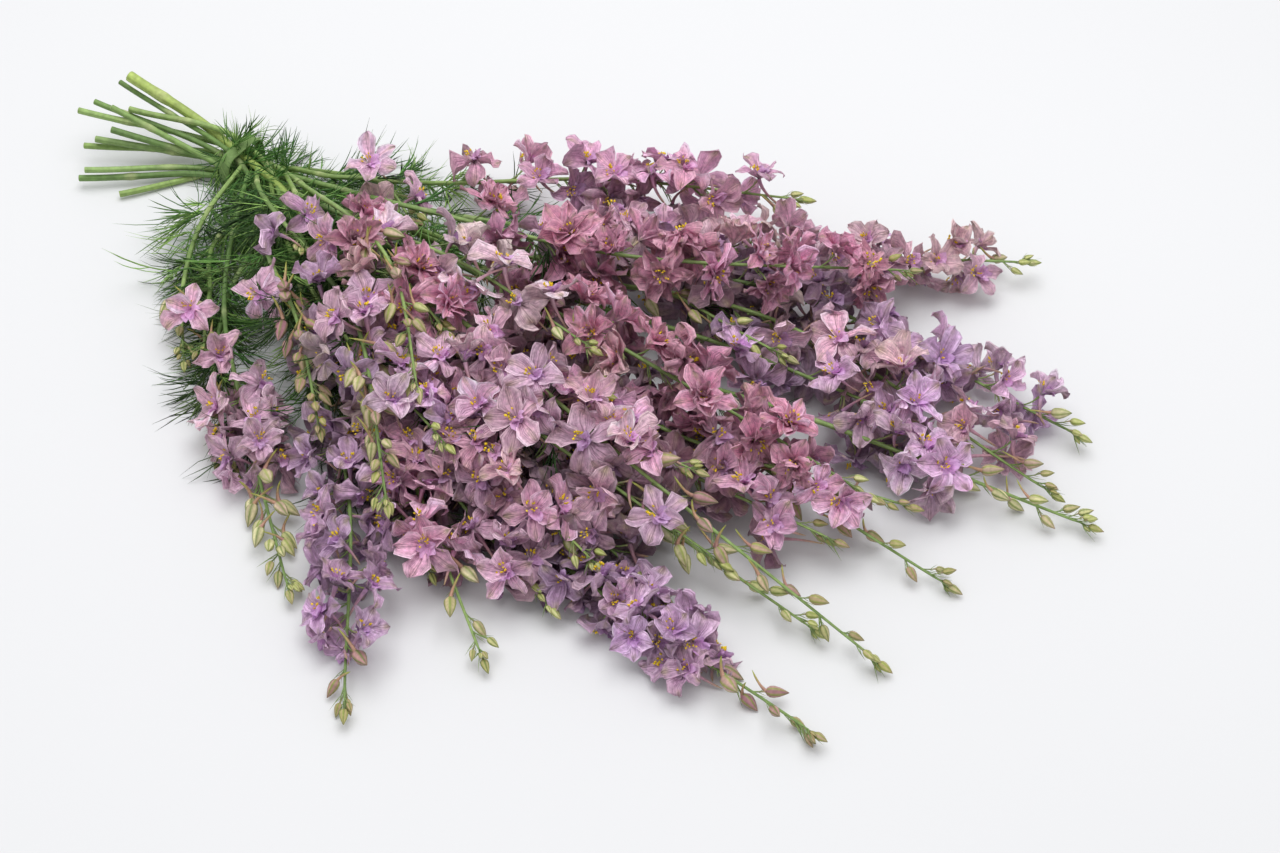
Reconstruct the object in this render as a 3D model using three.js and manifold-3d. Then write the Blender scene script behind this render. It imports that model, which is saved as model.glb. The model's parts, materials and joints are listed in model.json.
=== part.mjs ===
// A florist's bunch of cut larkspur lying on a flat surface: twelve main stems held by a rubber tie,
// their side shoots, feathery leaves near the tie, and flower spikes that fan out and come to rest on
// the surface. Millimetres, +Z up. The origin is on the surface under the tie, and +X runs along the
// bunch to the flowers.

import * as THREE from "three";
import { mergeVertices } from "three/addons/utils/BufferGeometryUtils.js";
import Module from "manifold-3d";

const wasm = await Module();
wasm.setup();

// Clearances
const pieceGap = 0.3; // least space between two pieces
const floorTrim = 60; // depth of the block that trims what would sink into the surface

// Tie
const tieWidth = 9; // along the stems
const tieWall = 1.3;
const tieHalfWidth = 19.5; // outside, across the bunch
const tieHeight = 29; // outside

// Stems and rachises
const stemSides = 5;
const stemTipRadius = 1.6; // where the first flowers start
const shootRadius = 1.7;
const shootSides = 3;
const rachisRadius = 2;
const rachisTipRadius = 1;
const rachisSides = 3;
const buttStep = 3; // samples of the settled path in one stretch of a stem behind the tie
const bareStep = 4; // and of its bare part beyond it
const rachisStep = 8;

// Room that each stretch of a strand keeps round itself while the bunch settles
const bareRoom = 3.1;
const bloomRoom = 8;
const budRoom = 4.5;
const settleTurns = 110;
const settlePush = 0.25; // share of what two strands lack that each of them gives way by, in one turn
const kinRoom = 0.5; // room between strands of one stem, as a share of how far they are past the fork
const settleLift = 5; // most height that a strand is given
const keptShare = 0.6; // of a push that stays where it was made, as the rest spreads along the strand

// Flowers
const pedicelLength = 17;
const pedicelTaper = [1.05, 0.8]; // of that, from the foot of a spike to its top
const flowerClimb = 52; // degrees between a flower's stalk and its spike
const flowerWander = 40; // degrees that it may leave the golden angle by
const stalkRadius = 0.8; // of every three-sided stalk, at its root
const flowerNeck = 1.1; // and where it meets the back of a flower
const rimSink = 0.4; // how far behind the middle of a flower or leaf it meets it
const sepalCount = 5;
const doubleSepals = 6; // of the pink flowers, which are double
const doubleGrowth = 1.08; // and longer by this
const broadShare = 0.12; // share of each spike, from its foot, with flowers old enough for broad sepals
const petalReach = 18.8; // from the middle of a flower to the end of a sepal
const petalCup = 4.5; // how far the ends of the sepals stand forward
const notchReach = 0.5; // where two sepals part, as a share of their reach
const flowerDepth = 2.8; // thickness at the middle
const flowerRoom = 25; // least space between two flowers' middles, before they are bent clear
const ownAxisRoom = 9; // between a flower's middle and its own spike
const otherAxisRoom = 12; // and any other strand
const flowerLift = 8; // least height of a flower's middle
const spreadTurns = 60;
const goldenAngle = 137.5;

// Buds
const budLength = 15;
const tipBudLength = 8;
const budStalk = [14, 5]; // length, from the lowest bud to the highest
const budClimb = [46, 40]; // degrees

// Leaves
const leafCount = 27;
const leafReach = 26;
const leafLobes = 5;

// Main stems. cut: the cut end. slot: across and up, in the tie. way: headings from the tie, in degrees,
// at a third, two thirds and the whole of the reach, and rise: the heights there. bare: the share of the
// way from tie to tip that has no flowers.
const mainStems = [
  { cut: [-60, -62, 5], slot: [8, 4.6], radius: 2.2, way: [23, 22.5, 22], reach: 387, rise: [14, 36, 40],
    bare: 0.36, open: 14, buds: 2, tone: "rose" },
  { cut: [-87, -64, 14], slot: [1, 4.6], radius: 2.1, way: [13, 14, 21], reach: 540, rise: [14, 34, 16],
    bare: 0.4, open: 17, buds: 2, tone: "mauve" },
  { cut: [-92, -67, 8], slot: [-6, 4.6], radius: 2.3, way: [4, 10, 7], reach: 600, rise: [18, 32, 12],
    bare: 0.46, open: 17, buds: 2, tone: "lilac" },
  { cut: [-104, -46, 17], slot: [11, 10.8], radius: 2.2, way: [-1, 5, 2], reach: 601, rise: [28, 42, 12],
    bare: 0.5, open: 14, buds: 2, tone: "mauve" },
  { cut: [-96, -41, 23], slot: [4.4, 10.8], radius: 2.4, way: [-2, 1, 13], reach: 470, rise: [50, 75, 55],
    bare: 0.38, open: 13, buds: 1, tone: "pink" },
  { cut: [-86, -34, 31], slot: [-2.2, 10.8], radius: 2.4, way: [-9, -10, -7], reach: 519, rise: [40, 70, 35],
    bare: 0.46, open: 12, buds: 2, tone: "pink" },
  { cut: [-90, -26, 43], slot: [-8.8, 10.8], radius: 2.2, way: [-15, -10, -7], reach: 583, rise: [30, 45, 8],
    bare: 0.44, open: 9, buds: 9, tone: "mauve" },
  { cut: [-119, -31, 33], slot: [8.6, 17], radius: 2.3, way: [-20, -18, -14], reach: 588, rise: [55, 60, 8],
    bare: 0.42, open: 9, buds: 12, tone: "mauve" },
  { cut: [-111, -21, 36], slot: [-4.6, 17], radius: 2.1, way: [-27, -26, -20], reach: 599, rise: [12, 15, 9],
    bare: 0.6, open: 13, buds: 7, tone: "lilac" },
  { cut: [-102, 5, 42], slot: [1.2, 19.6], radius: 4, way: [-28, -28, -24], reach: 445, rise: [42, 50, 30],
    bare: 0.36, open: 12, buds: 2, tone: "rose" },
  { cut: [-85, -15, 34], slot: [8, 23.4], radius: 2.2, way: [-33, -33, -34], reach: 459, rise: [20, 35, 8],
    bare: 0.55, open: 7, buds: 4, tone: "rose" },
  { cut: [-112, 7, 37], slot: [-5, 23.4], radius: 1.9, way: [-39, -39, -44], reach: 468, rise: [15, 25, 9],
    bare: 0.5, open: 12, buds: 3, tone: "lilac" },
];

// Side shoots. parent: the main stem that they leave, and fork: the share of the way from its tie to its tip.
const sideShoots = [
  { parent: 3, fork: 0.2, way: [-6, -2, 1], reach: 629, rise: [20, 28, 9],
    bare: 0.7, open: 5, buds: 8, tone: "lilac" },
  { parent: 8, fork: 0.12, way: [-23, -19, -15], reach: 548, rise: [25, 30, 8],
    bare: 0.4, open: 10, buds: 9, tone: "mauve" },
  { parent: 11, fork: 0.05, way: [-56, -50, -47], reach: 377, rise: [14, 18, 8],
    bare: 0.45, open: 8, buds: 8, tone: "mauve" },
  { parent: 11, fork: 0.1, way: [-42, -40, -41], reach: 290, rise: [45, 55, 45],
    bare: 0.4, open: 1, buds: 11, tone: "mauve" },
  { parent: 7, fork: 0.1, way: [-21, -24, -30], reach: 310, rise: [65, 85, 75],
    bare: 0.35, open: 1, buds: 9, tone: "rose" },
  { parent: 9, fork: 0.12, way: [-30, -33, -37], reach: 365, rise: [45, 65, 50],
    bare: 0.5, open: 2, buds: 9, tone: "mauve" },
  { parent: 7, fork: 0.06, way: [-25, -22, -23], reach: 276, rise: [52, 75, 75],
    bare: 0.46, open: 6, buds: 1, tone: "pink" },
  { parent: 5, fork: 0.08, way: [-18, -14, -13], reach: 346, rise: [60, 80, 80],
    bare: 0.36, open: 8, buds: 2, tone: "pale" },
  { parent: 6, fork: 0.15, way: [-25, -21, -15], reach: 369, rise: [45, 60, 65],
    bare: 0.35, open: 2, buds: 11, tone: "mauve" },
  { parent: 3, fork: 0.14, way: [-2, 3, 1], reach: 424, rise: [35, 45, 45],
    bare: 0.4, open: 4, buds: 8, tone: "mauve" },
  { parent: 6, fork: 0.2, way: [-20, -19, -15], reach: 447, rise: [35, 50, 60],
    bare: 0.3, open: 10, buds: 1, tone: "rose" },
  { parent: 9, fork: 0.09, way: [-35, -33, -30], reach: 344, rise: [40, 60, 60],
    bare: 0.42, open: 8, buds: 1, tone: "lilac" },
  { parent: 9, fork: 0.26, way: [-25, -22, -17], reach: 487, rise: [45, 60, 30],
    bare: 0.34, open: 11, buds: 2, tone: "mauve" },
  { parent: 11, fork: 0.02, way: [-73, -69, -63], reach: 182, rise: [20, 12, 6],
    bare: 0.6, open: 0, buds: 4, tone: "mauve" },
  { parent: 11, fork: 0.15, way: [-57, -56, -52], reach: 280, rise: [10, 8, 6],
    bare: 0.6, open: 0, buds: 4, tone: "mauve" },
  { parent: 9, fork: 0.04, way: [-37, -35, -33], reach: 150, rise: [40, 50, 60],
    bare: 0.7, open: 2, buds: 1, tone: "lilac" },
  { parent: 3, fork: 0.05, way: [6, 8, -3], reach: 152, rise: [28, 36, 40],
    bare: 0.5, open: 4, buds: 1, tone: "mauve" },
  { parent: 11, fork: 0.08, way: [-64, -59, -58], reach: 184, rise: [15, 12, 12],
    bare: 0.7, open: 1, buds: 2, tone: "mauve" },
  { parent: 5, fork: 0.22, way: [-13, -12, -5], reach: 540, rise: [40, 45, 28],
    bare: 0.42, open: 8, buds: 1, tone: "rose" },
  { parent: 6, fork: 0.2, way: [-17, -15, -10], reach: 520, rise: [30, 38, 24],
    bare: 0.42, open: 8, buds: 1, tone: "rose" },
  { parent: 7, fork: 0.12, way: [-25, -24, -21], reach: 477, rise: [40, 36, 14],
    bare: 0.5, open: 6, buds: 1, tone: "mauve" },
  { parent: 8, fork: 0.14, way: [-31, -31, -28], reach: 447, rise: [26, 28, 12],
    bare: 0.45, open: 7, buds: 1, tone: "mauve" },
  { parent: 10, fork: 0.1, way: [-36, -36, -35], reach: 392, rise: [30, 30, 12],
    bare: 0.45, open: 6, buds: 1, tone: "lilac" },
  { parent: 3, fork: 0.18, way: [-2, 1, 2], reach: 540, rise: [30, 34, 25],
    bare: 0.5, open: 7, buds: 1, tone: "lilac" },
];

const spanSamples = 15; // samples of a path between two of the points that it is drawn through
const slotSample = spanSamples; // where a main stem's path passes through the tie

// A repeatable draw from 0 to 1.
function draw(index, channel) {
  const wave = Math.sin(index * 12.9898 + channel * 78.233) * 43758.5453;
  return wave - Math.floor(wave);
}

// A repeatable draw from -1 to 1.
function sway(index, channel) {
  return 2 * draw(index, channel) - 1;
}

function polar(reach, heading, height) {
  const angle = THREE.MathUtils.degToRad(heading);
  return new THREE.Vector3(reach * Math.cos(angle), reach * Math.sin(angle), height);
}

function mix(start, end, share) {
  return start + (end - start) * share;
}

function pathThrough(stops) {
  return new THREE.CatmullRomCurve3(stops).getPoints(spanSamples * (stops.length - 1));
}

// Strands: the main stems from cut end to tip, then the side shoots from fork to tip.
function planMain(stem, order) {
  const slot = new THREE.Vector3(0, ...stem.slot);
  const stops = stem.way.map((heading, k) => polar((stem.reach * (k + 1)) / 3, heading, stem.rise[k]));
  const points = pathThrough([new THREE.Vector3(...stem.cut), slot, ...stops]);
  return { ...stem, order, points, start: slotSample, family: order };
}

function planShoot(shoot, order, mains) {
  const parent = mains[shoot.parent];
  const forkSample = slotSample + Math.round(shoot.fork * (parent.points.length - 1 - slotSample));
  const fork = parent.points[forkSample];
  const forkReach = Math.hypot(fork.x, fork.y);
  const stops = shoot.way.map((heading, k) =>
    polar(mix(forkReach, shoot.reach, (k + 1) / 3), heading, shoot.rise[k]));
  const points = pathThrough([fork, ...stops]);
  return { ...shoot, order, points, start: 0, family: shoot.parent, forkSample };
}

function planStrands() {
  const mains = mainStems.map(planMain);
  const shoots = sideShoots.map((shoot, k) => planShoot(shoot, mains.length + k, mains));
  return [...mains, ...shoots];
}

// The sample where a strand's flowers start, and the one where its buds start.
function bloomSample(strand) {
  return strand.start + Math.round(strand.bare * (strand.points.length - 1 - strand.start));
}

function budSample(strand) {
  const last = strand.points.length - 1;
  const budShare = strand.buds / (strand.buds + strand.open);
  return last - Math.round(0.8 * budShare * (last - bloomSample(strand)));
}

function roomAt(strand, sample) {
  if (sample < bloomSample(strand)) return bareRoom + Math.max(0, (strand.radius ?? 0) - 2.4);
  return sample < budSample(strand) ? bloomRoom : budRoom;
}

// Pushes strands that pass too close apart, a little each turn, and spreads each push along its strand,
// so that every strand stays a smooth curve. Nothing sinks into the surface, the tie holds the stems in
// their slots, and a shoot follows the fork that it grows from.
function settle(strands) {
  const firsts = [];
  let count = 0;
  for (const strand of strands) {
    firsts.push(count);
    count += strand.points.length;
  }
  const base = new Float64Array(3 * count);
  const shift = new Float64Array(3 * count);
  const owner = new Int32Array(count);
  const room = new Float64Array(count);
  const fromFork = new Float64Array(count).fill(Infinity);
  strands.forEach((strand, order) => {
    strand.points.forEach((point, sample) => {
      const at = firsts[order] + sample;
      point.toArray(base, 3 * at);
      owner[at] = order;
      room[at] = roomAt(strand, sample);
      if (strand.forkSample !== undefined) fromFork[at] = point.distanceTo(strand.points[0]);
    });
  });
  for (let turn = 0; turn < settleTurns; turn += 1) {
    const place = base.map((value, k) => value + shift[k]);
    for (let i = 0; i < count; i += 1) {
      for (let j = firsts[owner[i]] + strands[owner[i]].points.length; j < count; j += 1) {
        const across = place[3 * i] - place[3 * j];
        if (Math.abs(across) > 2 * bloomRoom) continue;
        const sideways = place[3 * i + 1] - place[3 * j + 1];
        const upward = place[3 * i + 2] - place[3 * j + 2];
        const distance = Math.hypot(across, sideways, upward);
        let need = room[i] + room[j];
        if (strands[owner[i]].family === strands[owner[j]].family) {
          need = Math.min(need, kinRoom * Math.min(fromFork[i], fromFork[j]));
        }
        if (distance >= need || distance < 1e-6) continue;
        const push = (settlePush * (need - distance)) / distance;
        [across, sideways, upward].forEach((part, axis) => {
          shift[3 * i + axis] += push * part;
          shift[3 * j + axis] -= push * part;
        });
      }
    }
    for (let i = 0; i < count; i += 1) {
      const lift = Math.min(room[i], settleLift) - (base[3 * i + 2] + shift[3 * i + 2]);
      if (lift > 0) shift[3 * i + 2] += lift;
    }
    strands.forEach((strand, order) => smoothShift(strand, firsts, order, shift));
  }
  strands.forEach((strand, order) => {
    strand.points.forEach((point, sample) => {
      const at = 3 * (firsts[order] + sample);
      point.set(base[at] + shift[at], base[at + 1] + shift[at + 1], base[at + 2] + shift[at + 2]);
    });
  });
}

function smoothShift(strand, firsts, order, shift) {
  const first = firsts[order];
  const last = strand.points.length - 1;
  const before = shift.slice(3 * first, 3 * (first + last + 1));
  for (let sample = 0; sample <= last; sample += 1) {
    const lower = Math.max(0, sample - 1);
    const upper = Math.min(last, sample + 1);
    for (let axis = 0; axis < 3; axis += 1) {
      const around = (before[3 * lower + axis] + before[3 * upper + axis]) / 2;
      shift[3 * (first + sample) + axis] = mix(around, before[3 * sample + axis], keptShare);
    }
  }
  const held = strand.forkSample === undefined ? slotSample : 0;
  const source = strand.forkSample === undefined ? undefined : firsts[strand.parent] + strand.forkSample;
  for (let axis = 0; axis < 3; axis += 1) {
    shift[3 * (first + held) + axis] = source === undefined ? 0 : shift[3 * source + axis];
  }
}

// The point at a share of a list of points, counted in steps from one to the next.
function pointAlong(points, share) {
  const place = share * (points.length - 1);
  const lower = Math.min(Math.floor(place), points.length - 2);
  return points[lower].clone().lerp(points[lower + 1], place - lower);
}

function runAlong(points, share) {
  const end = pointAlong(points, Math.min(1, share + 0.04));
  return end.sub(pointAlong(points, Math.max(0, share - 0.04))).normalize();
}

// The straight stretches that a strand is built in: its bare part, and its rachis, which starts a gap later.
function stretches(points, first, last, step) {
  const count = Math.max(1, Math.round((last - first) / step));
  return Array.from({ length: count + 1 }, (_, k) => {
    const place = mix(first, last, k / count);
    const lower = Math.min(Math.floor(place), points.length - 2);
    return points[lower].clone().lerp(points[lower + 1], place - lower);
  });
}

function layStretches(strand) {
  const first = bloomSample(strand);
  const butt = stretches(strand.points, 0, strand.start, buttStep);
  const bare = stretches(strand.points, strand.start, first, bareStep);
  strand.bareLine = strand.start > 0 ? [...butt, ...bare.slice(1)] : bare;
  strand.rachisLine = stretches(strand.points, first, strand.points.length - 1, rachisStep);
  strand.rachisLine[0].addScaledVector(runAlong(strand.rachisLine, 0), pieceGap + 0.4);
}

// Flowers and buds along a strand: each has a root on the rachis and a middle at the end of its stalk.
function placeHeads(strand) {
  const line = strand.rachisLine;
  const count = strand.open + strand.buds;
  const heads = [];
  for (let k = 0; k < count; k += 1) {
    const open = k < strand.open;
    const last = k === count - 1;
    const share = last ? 0.995 : mix(0.04, 1, Math.pow((k + 0.4) / count, 0.92));
    const toTip = open ? k / count : (k - strand.open + 1) / strand.buds;
    const key = strand.order * 40 + k;
    const root = pointAlong(line, share);
    const run = runAlong(line, share);
    const climb = open ? flowerClimb : mix(...budClimb, toTip);
    const stalk = open ? pedicelLength * mix(...pedicelTaper, toTip) : mix(...budStalk, toTip);
    const turn = (k * goldenAngle + flowerWander * sway(key, 1) + 77 * strand.order) % 360;
    const outward = turned(sideOf(run), run, turn);
    const way = last ? run.clone() : turned(run, run.clone().cross(outward), climb);
    const middle = root.clone().addScaledVector(way, stalk);
    heads.push({ key, strand, open, toTip, share, root, run, stalk, middle });
  }
  return heads;
}

// A direction square to the given one, as near upright as it can be.
function sideOf(run) {
  const side = new THREE.Vector3(0, 0, 1).addScaledVector(run, -run.z);
  if (side.length() < 0.2) side.set(0, 1, 0).addScaledVector(run, -run.y);
  return side.normalize();
}

function turned(vector, axis, degrees) {
  return vector.clone().applyAxisAngle(axis, THREE.MathUtils.degToRad(degrees));
}

// Swings the stalks so that flowers stand clear of each other, of the strands and of the surface.
function spread(heads, strands) {
  const open = heads.filter((head) => head.open);
  const axisPoints = strands.flatMap((strand) => strand.points.map((point) => ({ point, strand })));
  for (let turn = 0; turn < spreadTurns; turn += 1) {
    const push = open.map(() => new THREE.Vector3());
    open.forEach((head, i) => {
      for (let j = i + 1; j < open.length; j += 1) {
        const apart = head.middle.clone().sub(open[j].middle);
        const distance = apart.length();
        if (distance >= flowerRoom) continue;
        apart.multiplyScalar((0.25 * (flowerRoom - distance)) / distance);
        push[i].add(apart);
        push[j].sub(apart);
      }
      for (const { point, strand } of axisPoints) {
        const need = strand === head.strand ? ownAxisRoom : otherAxisRoom;
        const apart = head.middle.clone().sub(point);
        const distance = apart.length();
        if (distance < need) push[i].addScaledVector(apart, (0.12 * (need - distance)) / distance);
      }
    });
    open.forEach((head, i) => {
      head.middle.add(push[i]);
      head.middle.z = Math.max(head.middle.z, flowerLift);
      const way = head.middle.clone().sub(head.root).normalize();
      head.middle.copy(head.root).addScaledVector(way, head.stalk);
    });
  }
}

// Leans a facing towards the way of its stalk until the stalk meets the flower's back fairly straight.
function leanTowards(facing, way) {
  const enough = 0.5;
  for (let step = 0; step < 12 && facing.dot(way) < enough; step += 1) {
    facing.addScaledVector(way, 0.15).normalize();
  }
  return facing;
}

// The way a flower faces: out from its spike and a little up. Near the surface it turns to lie flat on it.
function facingOf(head) {
  const way = head.middle.clone().sub(head.root).normalize();
  const facing = way.clone().addScaledVector(head.run, -0.55 * way.dot(head.run));
  facing.z += 0.3;
  facing.x += 0.25 * sway(head.key, 2);
  facing.y += 0.25 * sway(head.key, 3);
  facing.normalize();
  const steepness = Math.min(1, Math.max(head.middle.z - 1, 0) / (petalReach * 0.95));
  const flatness = Math.sqrt(1 - steepness * steepness);
  if (Math.abs(facing.z) < flatness) {
    const sign = way.z < -0.3 ? -1 : 1;
    const level = Math.hypot(facing.x, facing.y) || 1;
    const rest = Math.sqrt(1 - flatness * flatness) / level;
    facing.set(facing.x * rest, facing.y * rest, sign * flatness);
  }
  return leanTowards(facing, way);
}

// Solids

function solidOf(geometry) {
  geometry.deleteAttribute("normal");
  geometry.deleteAttribute("uv");
  const merged = mergeVertices(geometry, 1e-5);
  const vertProperties = Float32Array.from(merged.attributes.position.array);
  const triVerts = Uint32Array.from(merged.index.array);
  return new wasm.Manifold(new wasm.Mesh({ numProp: 3, vertProperties, triVerts }));
}

function solidFrom({ points, faces }) {
  const geometry = new THREE.BufferGeometry().setFromPoints(points);
  geometry.setIndex(faces.flat());
  return solidOf(geometry);
}

// Rings of points joined in order. A ring of one point is a tip, and any other end is closed flat.
function loft(rings) {
  const faces = [];
  let first = 0;
  for (let r = 0; r + 1 < rings.length; r += 1) {
    const size = rings[r].length;
    const nextSize = rings[r + 1].length;
    const next = first + size;
    for (let k = 0; k < Math.max(size, nextSize); k += 1) {
      const [a, b] = [first + (k % size), first + ((k + 1) % size)];
      const [c, d] = [next + (k % nextSize), next + ((k + 1) % nextSize)];
      if (size > 1) faces.push([a, b, c]);
      if (nextSize > 1) faces.push([b, d, c]);
    }
    first = next;
  }
  for (let k = 1; k + 1 < rings.at(-1).length; k += 1) faces.push([first, first + k, first + k + 1]);
  for (let k = 1; k + 1 < rings[0].length; k += 1) faces.push([0, k + 1, k]);
  return { points: rings.flat(), faces };
}

function ringRound(centre, run, side, radius, sides) {
  return Array.from({ length: sides }, (_, k) =>
    turned(side, run, (360 * k) / sides).multiplyScalar(radius).add(centre));
}

function squared(side, run) {
  return side.clone().addScaledVector(run, -side.dot(run)).normalize();
}

function tube(centres, radii, sides) {
  let side;
  const rings = centres.map((centre, k) => {
    const before = centres[Math.max(0, k - 1)];
    const run = centres[Math.min(centres.length - 1, k + 1)].clone().sub(before).normalize();
    side = side ? squared(side, run) : sideOf(run);
    return ringRound(centre, run, side, radii[k], sides);
  });
  return loft(rings);
}

// A star, as an open shell. Its outline is given as angles, reaches and heights about the middle, in the
// frame of the facing and the across direction. Behind, it narrows to a three-sided rim that its stalk
// joins.
function starShell({ outline, middle, facing, across, depth, rimRadius }) {
  const at = (angle, reach, height) => turned(across, facing, angle).multiplyScalar(reach)
    .addScaledVector(facing, height).add(middle);
  const size = outline.length;
  const thirdOf = (k) => Math.floor((3 * k) / size);
  const points = outline.map((spot) => at(...spot));
  points.push(at(0, 0, depth));
  for (let third = 0; third < 3; third += 1) {
    const sector = outline.filter((_, k) => thirdOf(k) === third);
    const angle = sector.reduce((sum, spot) => sum + spot[0], 0) / sector.length;
    points.push(at(angle, rimRadius, -rimSink));
  }
  const faces = [];
  for (let k = 0; k < size; k += 1) {
    const next = (k + 1) % size;
    const [back, nextBack] = [size + 1 + thirdOf(k), size + 1 + thirdOf(next)];
    faces.push([next, k, back], [size, k, next]);
    if (back !== nextBack) faces.push([next, back, nextBack]);
  }
  return { points, faces, rim: [size + 1, size + 2, size + 3] };
}

function centreOf(points) {
  return points.reduce((sum, point) => sum.add(point), new THREE.Vector3()).divideScalar(points.length);
}

// The faces of a stalk between the three corners that it starts from and the three of a shell's rim. The
// rim is taken in the order that twists it least, and each side is split along its shorter diagonal.
function stalkFaces(start, rim, pointOf) {
  const length = (i, j) => pointOf(i).distanceTo(pointOf(j));
  const reach = (turn) => start.reduce((sum, k, n) => sum + length(k, rim[(n + turn) % 3]), 0);
  const turn = [0, 1, 2].reduce((best, other) => (reach(other) < reach(best) ? other : best));
  return start.flatMap((corner, k) => {
    const nextCorner = start[(k + 1) % 3];
    const [top, nextTop] = [rim[(k + turn) % 3], rim[(k + turn + 1) % 3]];
    return length(corner, nextTop) < length(nextCorner, top)
      ? [[corner, nextCorner, nextTop], [corner, nextTop, top]]
      : [[corner, nextCorner, top], [nextCorner, nextTop, top]];
  });
}

// A shell with its stalk, to test it with before it is grafted. Its last face closes the foot of the stalk.
function onStalk(shell, corners) {
  const first = shell.points.length;
  const points = [...shell.points, ...corners];
  const start = [first, first + 1, first + 2];
  const stalk = stalkFaces(start, shell.rim, (k) => points[k]);
  return { points, faces: [...shell.faces, ...stalk, [first, first + 2, first + 1]] };
}

// Faces with their corners and boxes, to find where they cross.
function facets(points, faces) {
  return faces.map((face) => {
    const corners = face.map((k) => points[k]);
    return { corners, box: new THREE.Box3().setFromPoints(corners) };
  });
}

function pierces(start, end, corners) {
  const way = end.clone().sub(start);
  const reach = way.length();
  const hit = new THREE.Ray(start, way.normalize()).intersectTriangle(...corners, false, new THREE.Vector3());
  return hit !== null && hit.distanceTo(start) < reach;
}

function cross(one, other) {
  if (!one.box.intersectsBox(other.box)) return false;
  if (one.corners.some((corner) => other.corners.includes(corner))) return false;
  return [0, 1, 2].some((k) => pierces(one.corners[k], one.corners[(k + 1) % 3], other.corners)
    || pierces(other.corners[k], other.corners[(k + 1) % 3], one.corners));
}

// Whether a head on its stalk crosses itself, or the body that it grows from, but for the face that it opens.
function crossesOwn(head, body, openedFace) {
  const own = facets(head.points, head.faces.slice(0, -1));
  if (own.some((one, k) => own.slice(k + 1).some((other) => cross(one, other)))) return true;
  const box = new THREE.Box3().setFromPoints(head.points);
  const faces = [...body.bark.filter((_, order) => order !== openedFace), ...body.grown];
  const near = facets(body.points, faces).filter((facet) => facet.box.intersectsBox(box));
  return near.some((one) => own.some((other) => cross(one, other)));
}

// Where a line from inside a tube leaves it: the face, and the point on it.
function exitFace(body, root, way) {
  const ray = new THREE.Ray(root, way);
  let best;
  body.bark.forEach((face, order) => {
    const hit = ray.intersectTriangle(...face.map((k) => body.points[k]), false, new THREE.Vector3());
    if (!hit) return;
    const distance = hit.distanceTo(root);
    if (!best || distance < best.distance) best = { order, face, hit, distance };
  });
  return best;
}

// Plans a small triangle in the face of a tube that a stalk leaves by, with the faces of the frame round
// it. It is turned to match the rim that the stalk goes to, so that the stalk isn't twisted.
function planOpening(body, root, rim) {
  const rimMiddle = centreOf(rim);
  const way = rimMiddle.clone().sub(root).normalize();
  const exit = exitFace(body, root, way);
  if (!exit) return undefined;
  const { order, face, hit } = exit;
  const [a, b, c] = face.map((k) => body.points[k]);
  const normal = b.clone().sub(a).cross(c.clone().sub(a)).normalize();
  const across = b.clone().sub(a).normalize();
  const along = normal.clone().cross(across);
  const flat = (vector) => new THREE.Vector2(vector.dot(across), vector.dot(along));
  const outer = [a, b, c].map((point) => flat(point.clone().sub(a)));
  hit.sub(a);
  const spot = flat(hit);
  const lead = rim[0].clone().sub(rimMiddle);
  const leadAngle = flat(lead.addScaledVector(way, -lead.dot(normal) / way.dot(normal))).angle();
  const room = stepInside(spot, outer);
  const radius = Math.min(stalkRadius, 0.75 * room);
  if (radius < 0.2 || spot.distanceTo(flat(hit)) > 3) return undefined;
  let best = { value: -Infinity };
  for (let angle = 0; angle < 360; angle += 10) {
    const inner = [0, 1, 2].map((k) => {
      const turn = THREE.MathUtils.degToRad(angle + 120 * k);
      return new THREE.Vector2(Math.cos(turn), Math.sin(turn)).multiplyScalar(radius).add(spot);
    });
    const frame = frameFaces(outer, inner);
    const twist = 3 * (THREE.MathUtils.degToRad(angle) - leadAngle);
    const value = frame.worth * (1.3 + Math.cos(twist));
    if (value > best.value) best = { ...frame, inner, value };
  }
  const corners = best.inner.map((corner) =>
    a.clone().addScaledVector(across, corner.x).addScaledVector(along, corner.y));
  return { order, corners, frame: best.faces, worth: best.worth };
}

// Moves a spot off the nearest edge of a triangle till a stalk has room there, and gives the room it gets.
function stepInside(spot, outer) {
  let room = 0;
  for (let step = 0; step < 25 && room < stalkRadius; step += 1) {
    const edges = outer.map((corner, k) => {
      const run = outer[(k + 1) % 3].clone().sub(corner).normalize();
      return { run, distance: run.cross(spot.clone().sub(corner)) };
    });
    const nearest = edges.reduce((least, edge) => (edge.distance < least.distance ? edge : least));
    room = nearest.distance;
    if (room < stalkRadius) spot.add(new THREE.Vector2(-nearest.run.y, nearest.run.x).multiplyScalar(0.1));
  }
  return room;
}

// The six faces between a triangle and a smaller one inside it, and the size of the least of them.
function frameFaces(outer, inner) {
  const spots = [...outer, ...inner];
  const area = ([i, j, k]) => spots[j].clone().sub(spots[i]).cross(spots[k].clone().sub(spots[i]));
  const faces = [];
  let worth = Infinity;
  for (let k = 0; k < 3; k += 1) {
    const next = (k + 1) % 3;
    const oneWay = [[k, next, 3 + next], [k, 3 + next, 3 + k]];
    const otherWay = [[k, next, 3 + k], [next, 3 + next, 3 + k]];
    const least = (pair) => Math.min(...pair.map(area));
    const pair = least(oneWay) > least(otherWay) ? oneWay : otherWay;
    worth = Math.min(worth, least(pair));
    faces.push(...pair);
  }
  return { faces, worth };
}

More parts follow.
